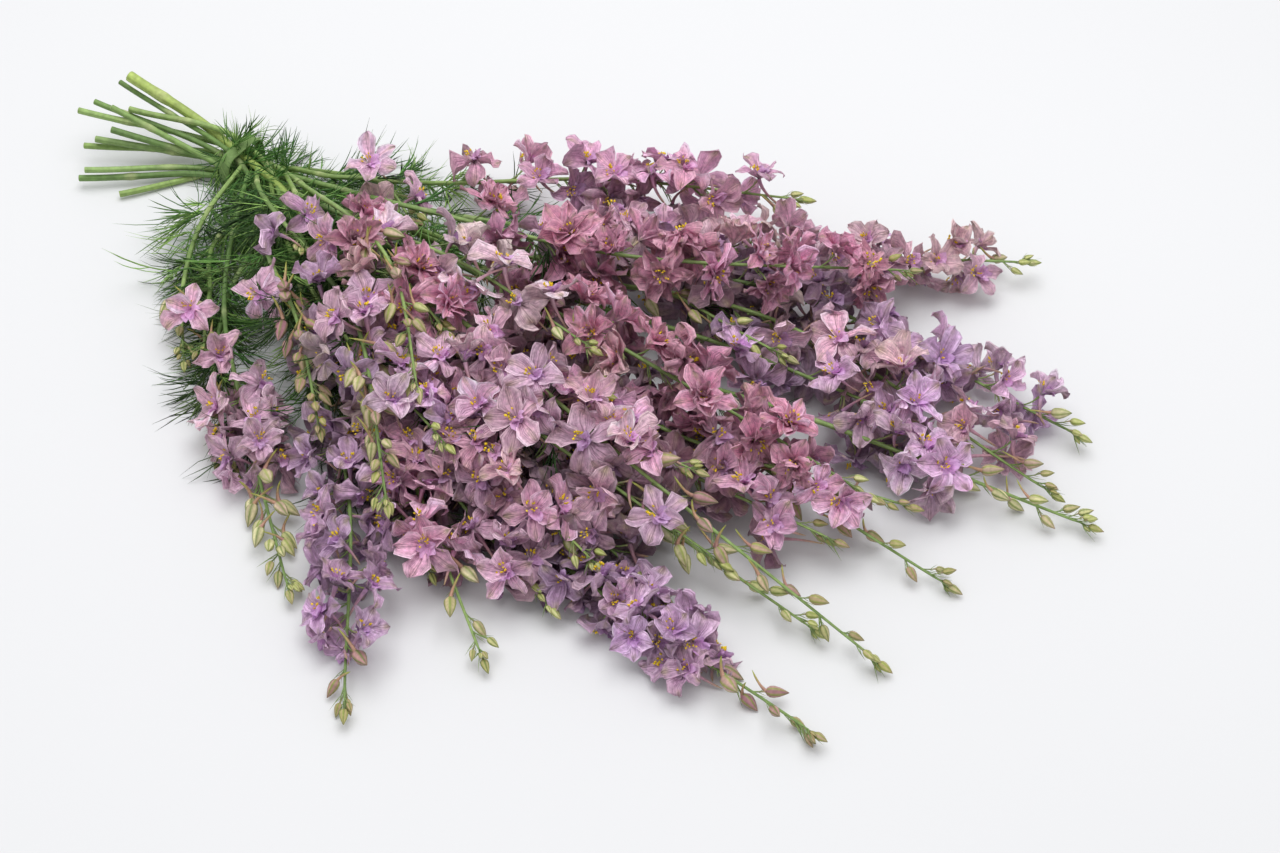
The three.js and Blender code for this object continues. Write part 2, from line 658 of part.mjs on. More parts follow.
// Opens the planned triangle and joins the shell's rim to it by a stalk.
function graft(body, shell, opening) {
  const first = body.points.length;
  const start = [first, first + 1, first + 2];
  const corners = [...body.bark[opening.order], ...start];
  body.points.push(...opening.corners, ...shell.points);
  body.bark.splice(opening.order, 1, ...opening.frame.map((triple) => triple.map((k) => corners[k])));
  const rim = shell.rim.map((k) => k + first + 3);
  body.grown.push(...shell.faces.map((face) => face.map((k) => k + first + 3)));
  body.grown.push(...stalkFaces(start, rim, (k) => body.points[k]));
}

// Sepals with a notch between each two. A broad one has a left and a right shoulder, raised unevenly so
// that it waves, and a narrow one has a tip.
function sepalOutline(key, reach, sepals, broad) {
  const outline = [];
  for (let sepal = 0; sepal < sepals; sepal += 1) {
    const angle = (360 / sepals) * sepal;
    const length = reach * (1 + 0.08 * sway(key, 10 + sepal));
    const wave = 2.4 * sway(key, 20 + sepal);
    outline.push([angle - 180 / sepals, notchReach * reach, 1.4]);
    if (broad) {
      outline.push([angle - 19, 0.96 * length, petalCup + wave]);
      outline.push([angle + 19, 0.98 * length, petalCup - wave]);
    } else {
      outline.push([angle, 1.06 * length, petalCup + wave]);
    }
  }
  return outline;
}

// A head's root once it has slid along its rachis.
function slidRoot(head, bend) {
  const line = head.strand.rachisLine;
  const length = line[0].distanceTo(line.at(-1));
  return pointAlong(line, THREE.MathUtils.clamp(head.share + bend.slide / length, 0.01, 0.995));
}

function flowerShell(head, bend) {
  const isDouble = head.strand.tone === "pink";
  const reach = petalReach * bend.size * (isDouble ? doubleGrowth : 1);
  const root = slidRoot(head, bend);
  const swung = turned(head.middle.clone().sub(head.root), head.run, bend.swing);
  const middle = root.clone().add(swung.multiplyScalar(0.5 + 0.5 * bend.size));
  middle.z = Math.max(middle.z, flowerLift * 0.6);
  const facing = facingOf({ ...head, root, middle });
  const leanAxis = squared(head.run, facing);
  facing.copy(turned(facing, leanAxis, bend.lean));
  const across = turned(squared(head.run, facing), facing, 360 * draw(head.key, 4));
  const isBroad = !isDouble && head.toTip < broadShare;
  const outline = sepalOutline(head.key, reach, isDouble ? doubleSepals : sepalCount, isBroad);
  const shell = starShell({ outline, middle, facing, across, depth: flowerDepth, rimRadius: flowerNeck });
  return { ...shell, root };
}

function budShell(head, bend) {
  const length = mix(budLength, tipBudLength, head.toTip) * bend.size;
  const root = slidRoot(head, bend);
  const way = turned(head.middle.clone().sub(head.root), head.run, bend.swing).normalize();
  const neck = root.clone().addScaledVector(way, head.stalk);
  const nod = way.clone().addScaledVector(head.run, 0.5 + 0.4 * sway(head.key, 5)).normalize();
  const side = sideOf(way);
  const belly = neck.clone().addScaledVector(nod, 0.42 * length);
  const tip = neck.clone().addScaledVector(nod, length);
  belly.z = Math.max(belly.z, 2);
  tip.z = Math.max(tip.z, 0.5);
  const rings = [ringRound(belly, nod, squared(side, nod), 0.25 * length + 0.2, 3), [tip]];
  if (head.toTip < 0.55) rings.unshift(ringRound(neck, way, side, stalkRadius, 3));
  const { points, faces } = loft(rings);
  return { points, faces: faces.slice(0, -1), rim: [0, 1, 2], root };
}

// What is placed is bent clear of everything that stands in another piece, and of its own piece if it can be.
const bends = [];
for (const size of [1, 0.9, 0.8, 0.68, 0.55]) {
  for (const swing of [0, 18, -18, 36, -36, 60, -60, 95, -95]) {
    for (const lean of [0, 20, -20, 40, -40]) {
      for (const slide of [0, 4, -4, 8, -8]) bends.push({ size, swing, lean, slide });
    }
  }
}
bends.sort((one, other) => strain(one) - strain(other));

function strain(bend) {
  const turn = Math.abs(bend.swing) + Math.abs(bend.lean);
  return turn / 40 + Math.abs(bend.slide) / 16 + 5 * (1 - bend.size);
}

function boxOf(solid) {
  const { min, max } = solid.boundingBox();
  return new THREE.Box3(new THREE.Vector3(...min), new THREE.Vector3(...max));
}

function isClear(solid, box, obstacles, gap) {
  const reach = box.clone().expandByScalar(gap);
  return obstacles.every((other) =>
    !reach.intersectsBox(other.box) || solid.minGap(other.solid, gap * 2) >= gap);
}

function placeClear(makeShell, body, node, placed) {
  const others = placed.filter((other) => other.node !== node);
  for (const bend of bends) {
    const shell = makeShell(bend);
    const opening = planOpening(body, shell.root, shell.rim.map((k) => shell.points[k]));
    if (!opening || opening.worth < 0.02) continue;
    const head = onStalk(shell, opening.corners);
    const solid = solidFrom(head);
    if (solid.volume() < 0.3) continue;
    const box = boxOf(solid);
    if (!isClear(solid, box, others, pieceGap + 0.05)) continue;
    if (!crossesOwn(head, body, opening.order)) return { node, solid, box, shell, opening };
  }
  return undefined;
}

// Pieces

// A closed band of rubber round the stems, flat where it lies on the surface.
function tieSolid() {
  const ring = new THREE.Shape(bandOutline(tieHalfWidth, 0, tieHeight));
  ring.holes.push(new THREE.Path(bandOutline(tieHalfWidth - tieWall, tieWall, tieHeight - tieWall)));
  const geometry = new THREE.ExtrudeGeometry(ring, { depth: tieWidth, bevelEnabled: false, steps: 1 });
  geometry.translate(1.5, 0, -tieWidth / 2);
  geometry.applyMatrix4(new THREE.Matrix4().makeBasis(
    new THREE.Vector3(0, 1, 0), new THREE.Vector3(0, 0, 1), new THREE.Vector3(1, 0, 0)));
  return solidOf(geometry);
}

function bandOutline(halfWidth, bottom, top) {
  const [middle, half] = [(top + bottom) / 2, (top - bottom) / 2];
  const corners = 20;
  return Array.from({ length: corners }, (_, k) => {
    const angle = (2 * Math.PI * (k + 0.5)) / corners;
    const squarish = (value) => Math.sign(value) * Math.pow(Math.abs(value), 0.62);
    const height = Math.max(bottom, middle + half * 1.06 * squarish(Math.sin(angle)));
    return new THREE.Vector2(halfWidth * squarish(Math.cos(angle)), Math.min(top, height));
  });
}

function bareTube(strand) {
  const isMain = strand.forkSample === undefined;
  const last = strand.bareLine.length - 1;
  const first = isMain ? strand.radius : shootRadius;
  const radii = strand.bareLine.map((_, k) => mix(first, stemTipRadius, k / last));
  return tube(strand.bareLine, radii, isMain ? stemSides : shootSides);
}

function rachisTube(strand) {
  const last = strand.rachisLine.length - 1;
  const radii = strand.rachisLine.map((_, k) => mix(rachisRadius, rachisTipRadius, k / last));
  return tube(strand.rachisLine, radii, rachisSides);
}

// A leaf cut into narrow lobes like a hand, on a stalk from the stem.
function leafShell(strand, share, key, bend) {
  const root = pointAlong(strand.bareLine, share + bend.slide / 200);
  const run = runAlong(strand.bareLine, share);
  const reach = leafReach * (0.75 + 0.5 * draw(key, 1)) * bend.size;
  const outward = turned(sideOf(run), run, 180 * sway(key, 2) + 1.9 * bend.swing);
  const way = outward.multiplyScalar(0.75).addScaledVector(run, 0.3 + 0.5 * draw(key, 3)).normalize();
  const facing = leanTowards(turned(squared(run, way), way, 60 * sway(key, 4) + bend.lean), way);
  const middle = root.clone().addScaledVector(way, 0.4 * reach);
  const outline = [[-180, 1.4, 0], [-125, 2.2, 0]];
  for (let lobe = 0; lobe < leafLobes; lobe += 1) {
    const angle = mix(-80, 80, lobe / (leafLobes - 1));
    const forward = Math.cos(THREE.MathUtils.degToRad(angle));
    const length = reach * (0.62 + 0.3 * forward + 0.12 * sway(key, 5 + lobe));
    outline.push([angle, length, 5 * sway(key, 12 + lobe)]);
    if (lobe + 1 < leafLobes) outline.push([angle + 20, 2.6, 0]);
  }
  outline.push([125, 2.2, 0]);
  const across = squared(way, facing);
  return { ...starShell({ outline, middle, facing, across, depth: 0.9, rimRadius: 0.8 }), root };
}

function trimmed(solid) {
  if (solid.boundingBox().min[2] >= 0) return solid;
  const block = new THREE.BoxGeometry(2000, 2000, floorTrim);
  block.translate(0, 0, -floorTrim / 2);
  return solid.subtract(solidOf(block));
}

// One solid of all that grows together, without loose scraps.
function grownTogether(bodies) {
  const solids = bodies.map(({ points, bark, grown }) => solidFrom({ points, faces: [...bark, ...grown] }));
  const parts = trimmed(wasm.Manifold.union(solids)).decompose();
  return parts.reduce((largest, part) => (part.volume() > largest.volume() ? part : largest));
}

function meshOf(solid, name, material) {
  const { vertProperties, triVerts } = solid.getMesh();
  const geometry = new THREE.BufferGeometry();
  geometry.setAttribute("position", new THREE.BufferAttribute(Float32Array.from(vertProperties), 3));
  geometry.setIndex(Array.from(triVerts));
  geometry.computeVertexNormals();
  const mesh = new THREE.Mesh(geometry, material);
  mesh.name = name;
  return mesh;
}

const materials = {
  stem: new THREE.MeshStandardMaterial({ color: 0x6f8f4a, roughness: 0.55, metalness: 0 }),
  petal: new THREE.MeshStandardMaterial({ color: 0x9a6f90, roughness: 0.6, metalness: 0 }),
  tie: new THREE.MeshStandardMaterial({ color: 0x4f6b3c, roughness: 0.7, metalness: 0 }),
};

function numbered(word, order) {
  return `${word}_${String(order + 1).padStart(2, "0")}`;
}

function buildBunch() {
  const strands = planStrands();
  settle(strands);
  strands.forEach(layStretches);
  const heads = strands.flatMap(placeHeads);
  spread(heads, strands);

  const placed = [];
  const place = (node, solid) => placed.push({ node, solid, box: boxOf(solid) });
  place("tie", tieSolid());
  for (const strand of strands) {
    const [bare, rachis] = [bareTube(strand), rachisTube(strand)];
    strand.stemNode = numbered("stem", strand.family);
    strand.sprayNode = numbered("spray", strand.order);
    strand.bareBody = { points: bare.points, bark: bare.faces, grown: [] };
    strand.rachisBody = { points: rachis.points, bark: rachis.faces, grown: [] };
    place(strand.stemNode, solidFrom(bare));
    place(strand.sprayNode, solidFrom(rachis));
  }
  for (const head of heads) {
    const makeShell = (bend) => (head.open ? flowerShell(head, bend) : budShell(head, bend));
    const item = placeClear(makeShell, head.strand.rachisBody, head.strand.sprayNode, placed);
    if (!item) continue;
    placed.push(item);
    graft(head.strand.rachisBody, item.shell, item.opening);
  }
  for (let k = 0; k < leafCount; k += 1) {
    const strand = strands[k % strands.length];
    const key = 5000 + k;
    const share = mix(0.38, 0.88, draw(key, 0));
    const makeShell = (bend) => leafShell(strand, share, key, bend);
    const item = placeClear(makeShell, strand.bareBody, strand.stemNode, placed);
    if (!item) continue;
    placed.push(item);
    graft(strand.bareBody, item.shell, item.opening);
  }

  const bunch = new THREE.Group();
  bunch.add(meshOf(tieSolid(), "tie", materials.tie));
  mainStems.forEach((_, family) => {
    const bodies = strands.filter((strand) => strand.family === family).map((strand) => strand.bareBody);
    bunch.add(meshOf(grownTogether(bodies), numbered("stem", family), materials.stem));
  });
  for (const strand of strands) {
    bunch.add(meshOf(grownTogether([strand.rachisBody]), strand.sprayNode, materials.petal));
  }
  return bunch;
}

export default buildBunch();
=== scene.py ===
import json
import math

import bpy
import numpy as np
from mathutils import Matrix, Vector

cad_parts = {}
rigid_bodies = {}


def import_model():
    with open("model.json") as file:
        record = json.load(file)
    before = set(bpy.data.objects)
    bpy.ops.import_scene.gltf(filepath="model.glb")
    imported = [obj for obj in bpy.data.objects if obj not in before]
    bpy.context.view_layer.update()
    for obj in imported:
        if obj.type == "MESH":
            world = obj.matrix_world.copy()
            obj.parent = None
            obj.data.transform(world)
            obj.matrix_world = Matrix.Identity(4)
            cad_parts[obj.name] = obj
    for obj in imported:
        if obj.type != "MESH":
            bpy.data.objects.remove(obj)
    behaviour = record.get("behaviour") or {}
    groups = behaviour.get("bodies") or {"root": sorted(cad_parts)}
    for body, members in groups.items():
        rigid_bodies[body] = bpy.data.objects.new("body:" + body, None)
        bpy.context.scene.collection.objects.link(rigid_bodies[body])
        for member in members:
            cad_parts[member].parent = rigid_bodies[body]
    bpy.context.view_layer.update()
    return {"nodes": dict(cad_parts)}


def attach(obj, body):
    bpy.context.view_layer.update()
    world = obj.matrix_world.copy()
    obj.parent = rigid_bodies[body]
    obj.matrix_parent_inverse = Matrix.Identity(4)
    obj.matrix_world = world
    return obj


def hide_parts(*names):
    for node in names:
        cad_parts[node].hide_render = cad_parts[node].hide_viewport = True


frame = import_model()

print("frame loaded:", len(frame["nodes"]), "solids")

# How the bunch lies, by the same rule as its solids, in millimetres.
layout = {
    "spanSamples": 15,      # samples of a path between two of the points it is drawn through
    "shootRadius": 1.7,
    "bareRoom": 3.1,        # room that a strand keeps round itself while the bunch settles
    "bloomRoom": 8.0,
    "budRoom": 4.5,
    "slimRadius": 2.4,      # a stem thicker than this keeps as much more room
    "settleTurns": 110,
    "settlePush": 0.25,     # the part of what is missing that each turn makes up
    "smoothing": 0.2,       # what each point takes from either neighbour
    "buttStep": 3,          # samples in one straight stretch
    "bareStep": 4,
    "rachisStep": 8,
    "rachisGap": 0.7,
    "goldenAngle": 137.5,   # from one flower to the next round the spike
    "flowerClimb": 52,      # degrees between its stalk and the spike
    "budClimb": (46, 40),   # from the first bud to the tip
    "pedicel": 17.0,        # the stalk of a flower
    "budStalk": (14, 5),
    "petalReach": 18.8,
    "flowerRoom": 25.0,     # between the middles of two flowers
    "rachisRoom": (9, 12),  # between a flower and its own spike, and another
    "flowerLift": 8.0,      # above the surface
    "spreadTurns": 60,
}

# way: headings, and rise: heights, at each third of the reach. bare: the part of the length before the spike.
spikeFields = ("way", "reach", "rise", "bare", "open", "buds", "tone")
# cut: the cut end. slot: across and up in the tie.
mainStems = [dict(zip(("cut", "slot", "radius", *spikeFields), row)) for row in (
    ((-60, -62, 5), (8, 4.6), 2.2, (23, 22.5, 22), 387, (14, 36, 40), 0.36, 14, 2, "rose"),
    ((-87, -64, 14), (1, 4.6), 2.1, (13, 14, 21), 540, (14, 34, 16), 0.4, 17, 2, "mauve"),
    ((-92, -67, 8), (-6, 4.6), 2.3, (4, 10, 7), 600, (18, 32, 12), 0.46, 17, 2, "lilac"),
    ((-104, -46, 17), (11, 10.8), 2.2, (-1, 5, 2), 601, (28, 42, 12), 0.5, 14, 2, "mauve"),
    ((-96, -41, 23), (4.4, 10.8), 2.4, (-2, 1, 13), 470, (50, 75, 55), 0.38, 13, 1, "pink"),
    ((-86, -34, 31), (-2.2, 10.8), 2.4, (-9, -10, -7), 519, (40, 70, 35), 0.46, 12, 2, "pink"),
    ((-90, -26, 43), (-8.8, 10.8), 2.2, (-15, -10, -7), 583, (30, 45, 8), 0.44, 9, 9, "mauve"),
    ((-119, -31, 33), (8.6, 17), 2.3, (-20, -18, -14), 588, (55, 60, 8), 0.42, 9, 12, "mauve"),
    ((-111, -21, 36), (-4.6, 17), 2.1, (-27, -26, -20), 599, (12, 15, 9), 0.6, 13, 7, "lilac"),
    ((-102, 5, 42), (1.2, 19.6), 4, (-28, -28, -24), 445, (42, 50, 30), 0.36, 12, 2, "rose"),
    ((-85, -15, 34), (8, 23.4), 2.2, (-33, -33, -34), 459, (20, 35, 8), 0.55, 7, 4, "rose"),
    ((-112, 7, 37), (-5, 23.4), 1.9, (-39, -39, -44), 468, (15, 25, 9), 0.5, 12, 3, "lilac"),
)]
# parent: the main stem that a shoot leaves. fork: how far along it.
sideShoots = [dict(zip(("parent", "fork", *spikeFields), row)) for row in (
    (3, 0.2, (-6, -2, 1), 629, (20, 28, 9), 0.7, 5, 8, "lilac"),
    (8, 0.12, (-23, -19, -15), 548, (25, 30, 8), 0.4, 10, 9, "mauve"),
    (11, 0.05, (-56, -50, -47), 377, (14, 18, 8), 0.45, 8, 8, "mauve"),
    (11, 0.1, (-42, -40, -41), 290, (45, 55, 45), 0.4, 1, 11, "mauve"),
    (7, 0.1, (-21, -24, -30), 310, (65, 85, 75), 0.35, 1, 9, "rose"),
    (9, 0.12, (-30, -33, -37), 365, (45, 65, 50), 0.5, 2, 9, "mauve"),
    (7, 0.06, (-25, -22, -23), 276, (52, 75, 75), 0.46, 6, 1, "pink"),
    (5, 0.08, (-18, -14, -13), 346, (60, 80, 80), 0.36, 8, 2, "pale"),
    (6, 0.15, (-25, -21, -15), 369, (45, 60, 65), 0.35, 2, 11, "mauve"),
    (3, 0.14, (-2, 3, 1), 424, (35, 45, 45), 0.4, 4, 8, "mauve"),
    (6, 0.2, (-20, -19, -15), 447, (35, 50, 60), 0.3, 10, 1, "rose"),
    (9, 0.09, (-35, -33, -30), 344, (40, 60, 60), 0.42, 8, 1, "lilac"),
    (9, 0.26, (-25, -22, -17), 487, (45, 60, 30), 0.34, 11, 2, "mauve"),
    (11, 0.02, (-73, -69, -63), 182, (20, 12, 6), 0.6, 0, 4, "mauve"),
    (11, 0.15, (-57, -56, -52), 280, (10, 8, 6), 0.6, 0, 4, "mauve"),
    (9, 0.04, (-37, -35, -33), 150, (40, 50, 60), 0.7, 2, 1, "lilac"),
    (3, 0.05, (6, 8, -3), 152, (28, 36, 40), 0.5, 4, 1, "mauve"),
    (11, 0.08, (-64, -59, -58), 184, (15, 12, 12), 0.7, 1, 2, "mauve"),
    (5, 0.22, (-13, -12, -5), 540, (40, 45, 28), 0.42, 8, 1, "rose"),
    (6, 0.2, (-17, -15, -10), 520, (30, 38, 24), 0.42, 8, 1, "rose"),
    (7, 0.12, (-25, -24, -21), 477, (40, 36, 14), 0.5, 6, 1, "mauve"),
    (8, 0.14, (-31, -31, -28), 447, (26, 28, 12), 0.45, 7, 1, "mauve"),
    (10, 0.1, (-36, -36, -35), 392, (30, 30, 12), 0.45, 6, 1, "lilac"),
    (3, 0.18, (-2, 1, 2), 540, (30, 34, 25), 0.5, 7, 1, "lilac"),
)]


# A number from 0 to 1 that is always the same for one index and channel.
def draw(index, channel):
    wave = np.sin(index * 12.9898 + channel * 78.233) * 43758.5453
    return wave - np.floor(wave)


# The same from -1 to 1.
def sway(index, channel):
    return 2 * draw(index, channel) - 1


def mix(start, end, share):
    return start + (end - start) * share


def unit(vector):
    return vector / max(np.linalg.norm(vector), 1e-9)


# The same for each row.
def unitRows(vectors):
    return vectors / np.maximum(np.linalg.norm(vectors, axis=1, keepdims=True), 1e-6)


# A point, or one for each share, on a curve that starts towards the middle and bends to its end.
def arc(start, middle, end, share):
    return (1 - share) ** 2 * start + 2 * share * (1 - share) * middle + share ** 2 * end


def roundUp(value):
    return int(math.floor(value + 0.5))


def polar(reach, heading, height):
    angle = math.radians(heading)
    return np.array([reach * math.cos(angle), reach * math.sin(angle), height])


# A point or a row of points turned about an axis, by degrees.
def turned(vector, axis, degrees):
    angle = math.radians(degrees)
    along = axis * np.sum(vector * axis, axis=-1, keepdims=True)
    return vector * math.cos(angle) + np.cross(axis, vector) * math.sin(angle) + along * (1 - math.cos(angle))


# A direction square to the run, as near upright as it can be.
def sideOf(run):
    side = np.array([0, 0, 1.0]) - run * run[2]
    if np.linalg.norm(side) < 0.2:
        side = np.array([0, 1.0, 0]) - run * run[1]
    return unit(side)


def squared(side, run):
    return unit(side - run * np.dot(side, run))


def pathThrough(stops):
    stops = np.array(stops, float)
    ends = [2 * stops[0] - stops[1], *stops, 2 * stops[-1] - stops[-2]]
    share = (np.arange(layout["spanSamples"]) / layout["spanSamples"])[:, None]
    spans = []
    for k in range(len(stops) - 1):
        p0, p1, p2, p3 = ends[k:k + 4]
        d0, d1, d2 = (np.dot(b - a, b - a) ** 0.25 for a, b in ((p0, p1), (p1, p2), (p2, p3)))
        t1 = ((p1 - p0) / d0 - (p2 - p0) / (d0 + d1) + (p2 - p1) / d1) * d1
        t2 = ((p2 - p1) / d1 - (p3 - p1) / (d1 + d2) + (p3 - p2) / d2) * d1
        spans.append(p1 + t1 * share + (3 * p2 - 3 * p1 - 2 * t1 - t2) * share ** 2
                     + (2 * p1 - 2 * p2 + t1 + t2) * share ** 3)
    return np.vstack([*spans, stops[-1:]])


def planStrands():
    slotSample = layout["spanSamples"]
    strands = []
    for order, stem in enumerate(mainStems):
        stops = [polar(stem["reach"] * (k + 1) / 3, stem["way"][k], stem["rise"][k]) for k in range(3)]
        points = pathThrough([stem["cut"], (0, *stem["slot"]), *stops])
        strands.append({**stem, "order": order, "family": order, "points": points, "start": slotSample,
                        "fork": None})
    for k, shoot in enumerate(sideShoots):
        parent = strands[shoot["parent"]]["points"]
        forkSample = slotSample + roundUp(shoot["fork"] * (len(parent) - 1 - slotSample))
        fork = parent[forkSample]
        forkReach = math.hypot(fork[0], fork[1])
        stops = [polar(mix(forkReach, shoot["reach"], (n + 1) / 3), shoot["way"][n], shoot["rise"][n])
                 for n in range(3)]
        strands.append({**shoot, "order": len(mainStems) + k, "family": shoot["parent"],
                        "radius": layout["shootRadius"], "points": pathThrough([fork, *stops]), "start": 0,
                        "fork": forkSample})
    return strands


def bloomSample(strand):
    return strand["start"] + roundUp(strand["bare"] * (len(strand["points"]) - 1 - strand["start"]))


def budSample(strand):
    last = len(strand["points"]) - 1
    budShare = 0.8 * strand["buds"] / (strand["buds"] + strand["open"])
    return last - roundUp(budShare * (last - bloomSample(strand)))


def roomAt(strand, sample):
    if sample < bloomSample(strand):
        return layout["bareRoom"] + max(0, strand["radius"] - layout["slimRadius"])
    return layout["bloomRoom"] if sample < budSample(strand) else layout["budRoom"]


def nearPairs(place, owner, within):
    gaps = np.linalg.norm(place[:, None] - place[None], axis=2)
    return np.nonzero((gaps < within) & (owner[:, None] < owner[None]))


# Pushes strands that pass too close apart, a little each turn, and keeps each one smooth.
def settle(strands):
    lengths = [len(strand["points"]) for strand in strands]
    firsts = np.concatenate([[0], np.cumsum(lengths)])
    base = np.vstack([strand["points"] for strand in strands])
    owner = np.repeat(np.arange(len(strands)), lengths)
    family = np.repeat([strand["family"] for strand in strands], lengths)
    room = np.array([roomAt(strand, n) for strand in strands for n in range(len(strand["points"]))])
    fromFork = np.concatenate([
        np.full(len(strand["points"]), np.inf) if strand["fork"] is None
        else np.linalg.norm(strand["points"] - strand["points"][0], axis=1) for strand in strands])
    shift = np.zeros_like(base)
    for turn in range(layout["settleTurns"]):
        place = base + shift
        if turn % 5 == 0:
            one, other = nearPairs(place, owner, 2 * layout["bloomRoom"] + 14)
            need = room[one] + room[other]
            kin = family[one] == family[other]
            need[kin] = np.minimum(need, 0.5 * np.minimum(fromFork[one], fromFork[other]))[kin]
        apart = place[one] - place[other]
        distance = np.linalg.norm(apart, axis=1)
        close = (distance < need) & (distance > 1e-6)
        push = (layout["settlePush"] * (need - distance)[close] / distance[close])[:, None] * apart[close]
        for axis in range(3):
            shift[:, axis] += np.bincount(one[close], push[:, axis], len(base))
            shift[:, axis] -= np.bincount(other[close], push[:, axis], len(base))
        lift = np.minimum(room, 5) - (base[:, 2] + shift[:, 2])
        shift[:, 2] += np.maximum(lift, 0)
        for order, strand in enumerate(strands):
            first, end = firsts[order], firsts[order + 1]
            before = shift[first:end].copy()
            around = np.vstack([before[:1], before[:-1]]) + np.vstack([before[1:], before[-1:]])
            shift[first:end] = (1 - 2 * layout["smoothing"]) * before + layout["smoothing"] * around
            if strand["fork"] is None:
                shift[first + strand["start"]] = 0
            else:
                shift[first] = shift[firsts[strand["parent"]] + strand["fork"]]
    for order, strand in enumerate(strands):
        strand["points"] = strand["points"] + shift[firsts[order]:firsts[order + 1]]


def atSample(points, place):
    lower = min(int(place), len(points) - 2)
    return mix(points[lower], points[lower + 1], place - lower)


def pointAlong(points, share):
    return atSample(points, min(max(share, 0), 1) * (len(points) - 1))


def runAlong(points, share):
    return unit(pointAlong(points, share + 0.04) - pointAlong(points, share - 0.04))


def stretches(points, first, last, step):
    count = max(1, roundUp((last - first) / step))
    return np.array([atSample(points, mix(first, last, k / count)) for k in range(count + 1)])


def layStretches(strand):
    points, first = strand["points"], bloomSample(strand)
    bare = stretches(points, strand["start"], first, layout["bareStep"])
    if strand["start"]:
        bare = np.vstack([stretches(points, 0, strand["start"], layout["buttStep"]), bare[1:]])
    strand["bareLine"] = bare
    strand["rachisLine"] = stretches(points, first, len(points) - 1, layout["rachisStep"])
    strand["rachisLine"][0] += layout["rachisGap"] * runAlong(strand["rachisLine"], 0)


# A flower or bud: its root on the rachis, and its middle at the end of a stalk that climbs away from it,
# on the side so many degrees round from the top, or round from another side.
def headOn(strand, key, isOpen, toTip, share, turn, climb, stalk, fromSide=None):
    root, run = pointAlong(strand["rachisLine"], share), runAlong(strand["rachisLine"], share)
    outward = turned(sideOf(run) if fromSide is None else squared(fromSide, run), run, turn)
    way = turned(run, np.cross(run, outward), climb)
    return dict(key=key, strand=strand, open=isOpen, toTip=toTip, share=share, root=root, run=run,
                stalk=stalk, middle=root + way * stalk)


def placeHeads(strand):
    count = strand["open"] + strand["buds"]
    found = []
    for k in range(count):
        key, isOpen, isLast = strand["order"] * 40 + k, k < strand["open"], k == count - 1
        share = 0.995 if isLast else mix(0.04, 1, ((k + 0.4) / count) ** 0.92)
        toTip = k / count if isOpen else (k - strand["open"] + 1) / strand["buds"]
        turn = math.fmod(k * layout["goldenAngle"] + 40 * sway(key, 1) + 77 * strand["order"], 360)
        climb = 0 if isLast else layout["flowerClimb"] if isOpen else mix(*layout["budClimb"], toTip)
        stalk = layout["pedicel"] * mix(1.05, 0.8, toTip) if isOpen else mix(*layout["budStalk"], toTip)
        found.append(headOn(strand, key, isOpen, toTip, share, turn, climb, stalk))
    return found


def headsOf(strand, among):
    return [head for head in among if head["strand"] is strand]


# Swings the stalks so that flowers stand clear of each other, of those held, of strands and the surface.
def spread(heads, strands, room, held):
    middles = np.array([head["middle"] for head in heads])
    roots = np.array([head["root"] for head in heads])
    stalks = np.array([head["stalk"] for head in heads])
    axisPoints = np.vstack([strand["points"] for strand in strands])
    axisOwner = np.repeat(np.arange(len(strands)), [len(strand["points"]) for strand in strands])
    spike = np.array([head["strand"]["order"] for head in heads])
    need = np.where(spike[:, None] == axisOwner[None], *layout["rachisRoom"])
    fixed = np.array([head["middle"] for head in held]).reshape(-1, 3)
    for _ in range(layout["spreadTurns"]):
        push = np.zeros_like(middles)
        for others, isSelf in ((middles, True), (fixed, False)):
            if not len(others):
                continue
            apart = middles[:, None] - others[None]
            distance = np.linalg.norm(apart, axis=2)
            if isSelf:
                np.fill_diagonal(distance, 1e6)
            close = np.where(distance < room, 0.25 * (room - distance) / np.maximum(distance, 1e-6), 0)
            push += np.einsum("ij,ijk->ik", close, apart)
        apart = middles[:, None] - axisPoints[None]
        distance = np.linalg.norm(apart, axis=2)
        close = np.where(distance < need, 0.12 * (need - distance) / np.maximum(distance, 1e-6), 0)
        push += np.einsum("ij,ijk->ik", close, apart)
        middles = middles + push
        middles[:, 2] = np.maximum(middles[:, 2], layout["flowerLift"])
        middles = roots + unitRows(middles - roots) * stalks[:, None]
    for head, middle in zip(heads, middles):
        head["middle"] = middle


def leanTowards(facing, way):
    for _ in range(12):
        if np.dot(facing, way) >= 0.5:
            break
        facing = unit(facing + 0.15 * way)
    return facing


# The way a flower faces: out from its spike and a little up, and flat where it lies on the surface.
def facingOf(head):
    way = unit(head["middle"] - head["root"])
    facing = way - 0.55 * np.dot(way, head["run"]) * head["run"]
    facing += np.array([0.25 * sway(head["key"], 2), 0.25 * sway(head["key"], 3), 0.3])
    facing = unit(facing)
    steepness = min(1, max(head["middle"][2] - 1, 0) / (layout["petalReach"] * 0.95))
    flatness = math.sqrt(1 - steepness ** 2)
    if abs(facing[2]) < flatness:
        sign = -1 if way[2] < -0.3 else 1
        rest = math.sqrt(1 - flatness ** 2) / (math.hypot(facing[0], facing[1]) or 1)
        facing = np.array([facing[0] * rest, facing[1] * rest, sign * flatness])
    return leanTowards(facing, way)


strands = planStrands()
settle(strands)
for strand in strands:
    layStretches(strand)
heads = [head for strand in strands for head in placeHeads(strand)]
openHeads = [head for head in heads if head["open"]]
spread(openHeads, strands, layout["flowerRoom"], [])
print("laid out:", len(strands), "strands,", len(openHeads), "flowers,", len(heads) - len(openHeads), "buds")


def srgb(red, green, blue):
    return np.array([((value / 255 + 0.055) / 1.055) ** 2.4 for value in (red, green, blue)])


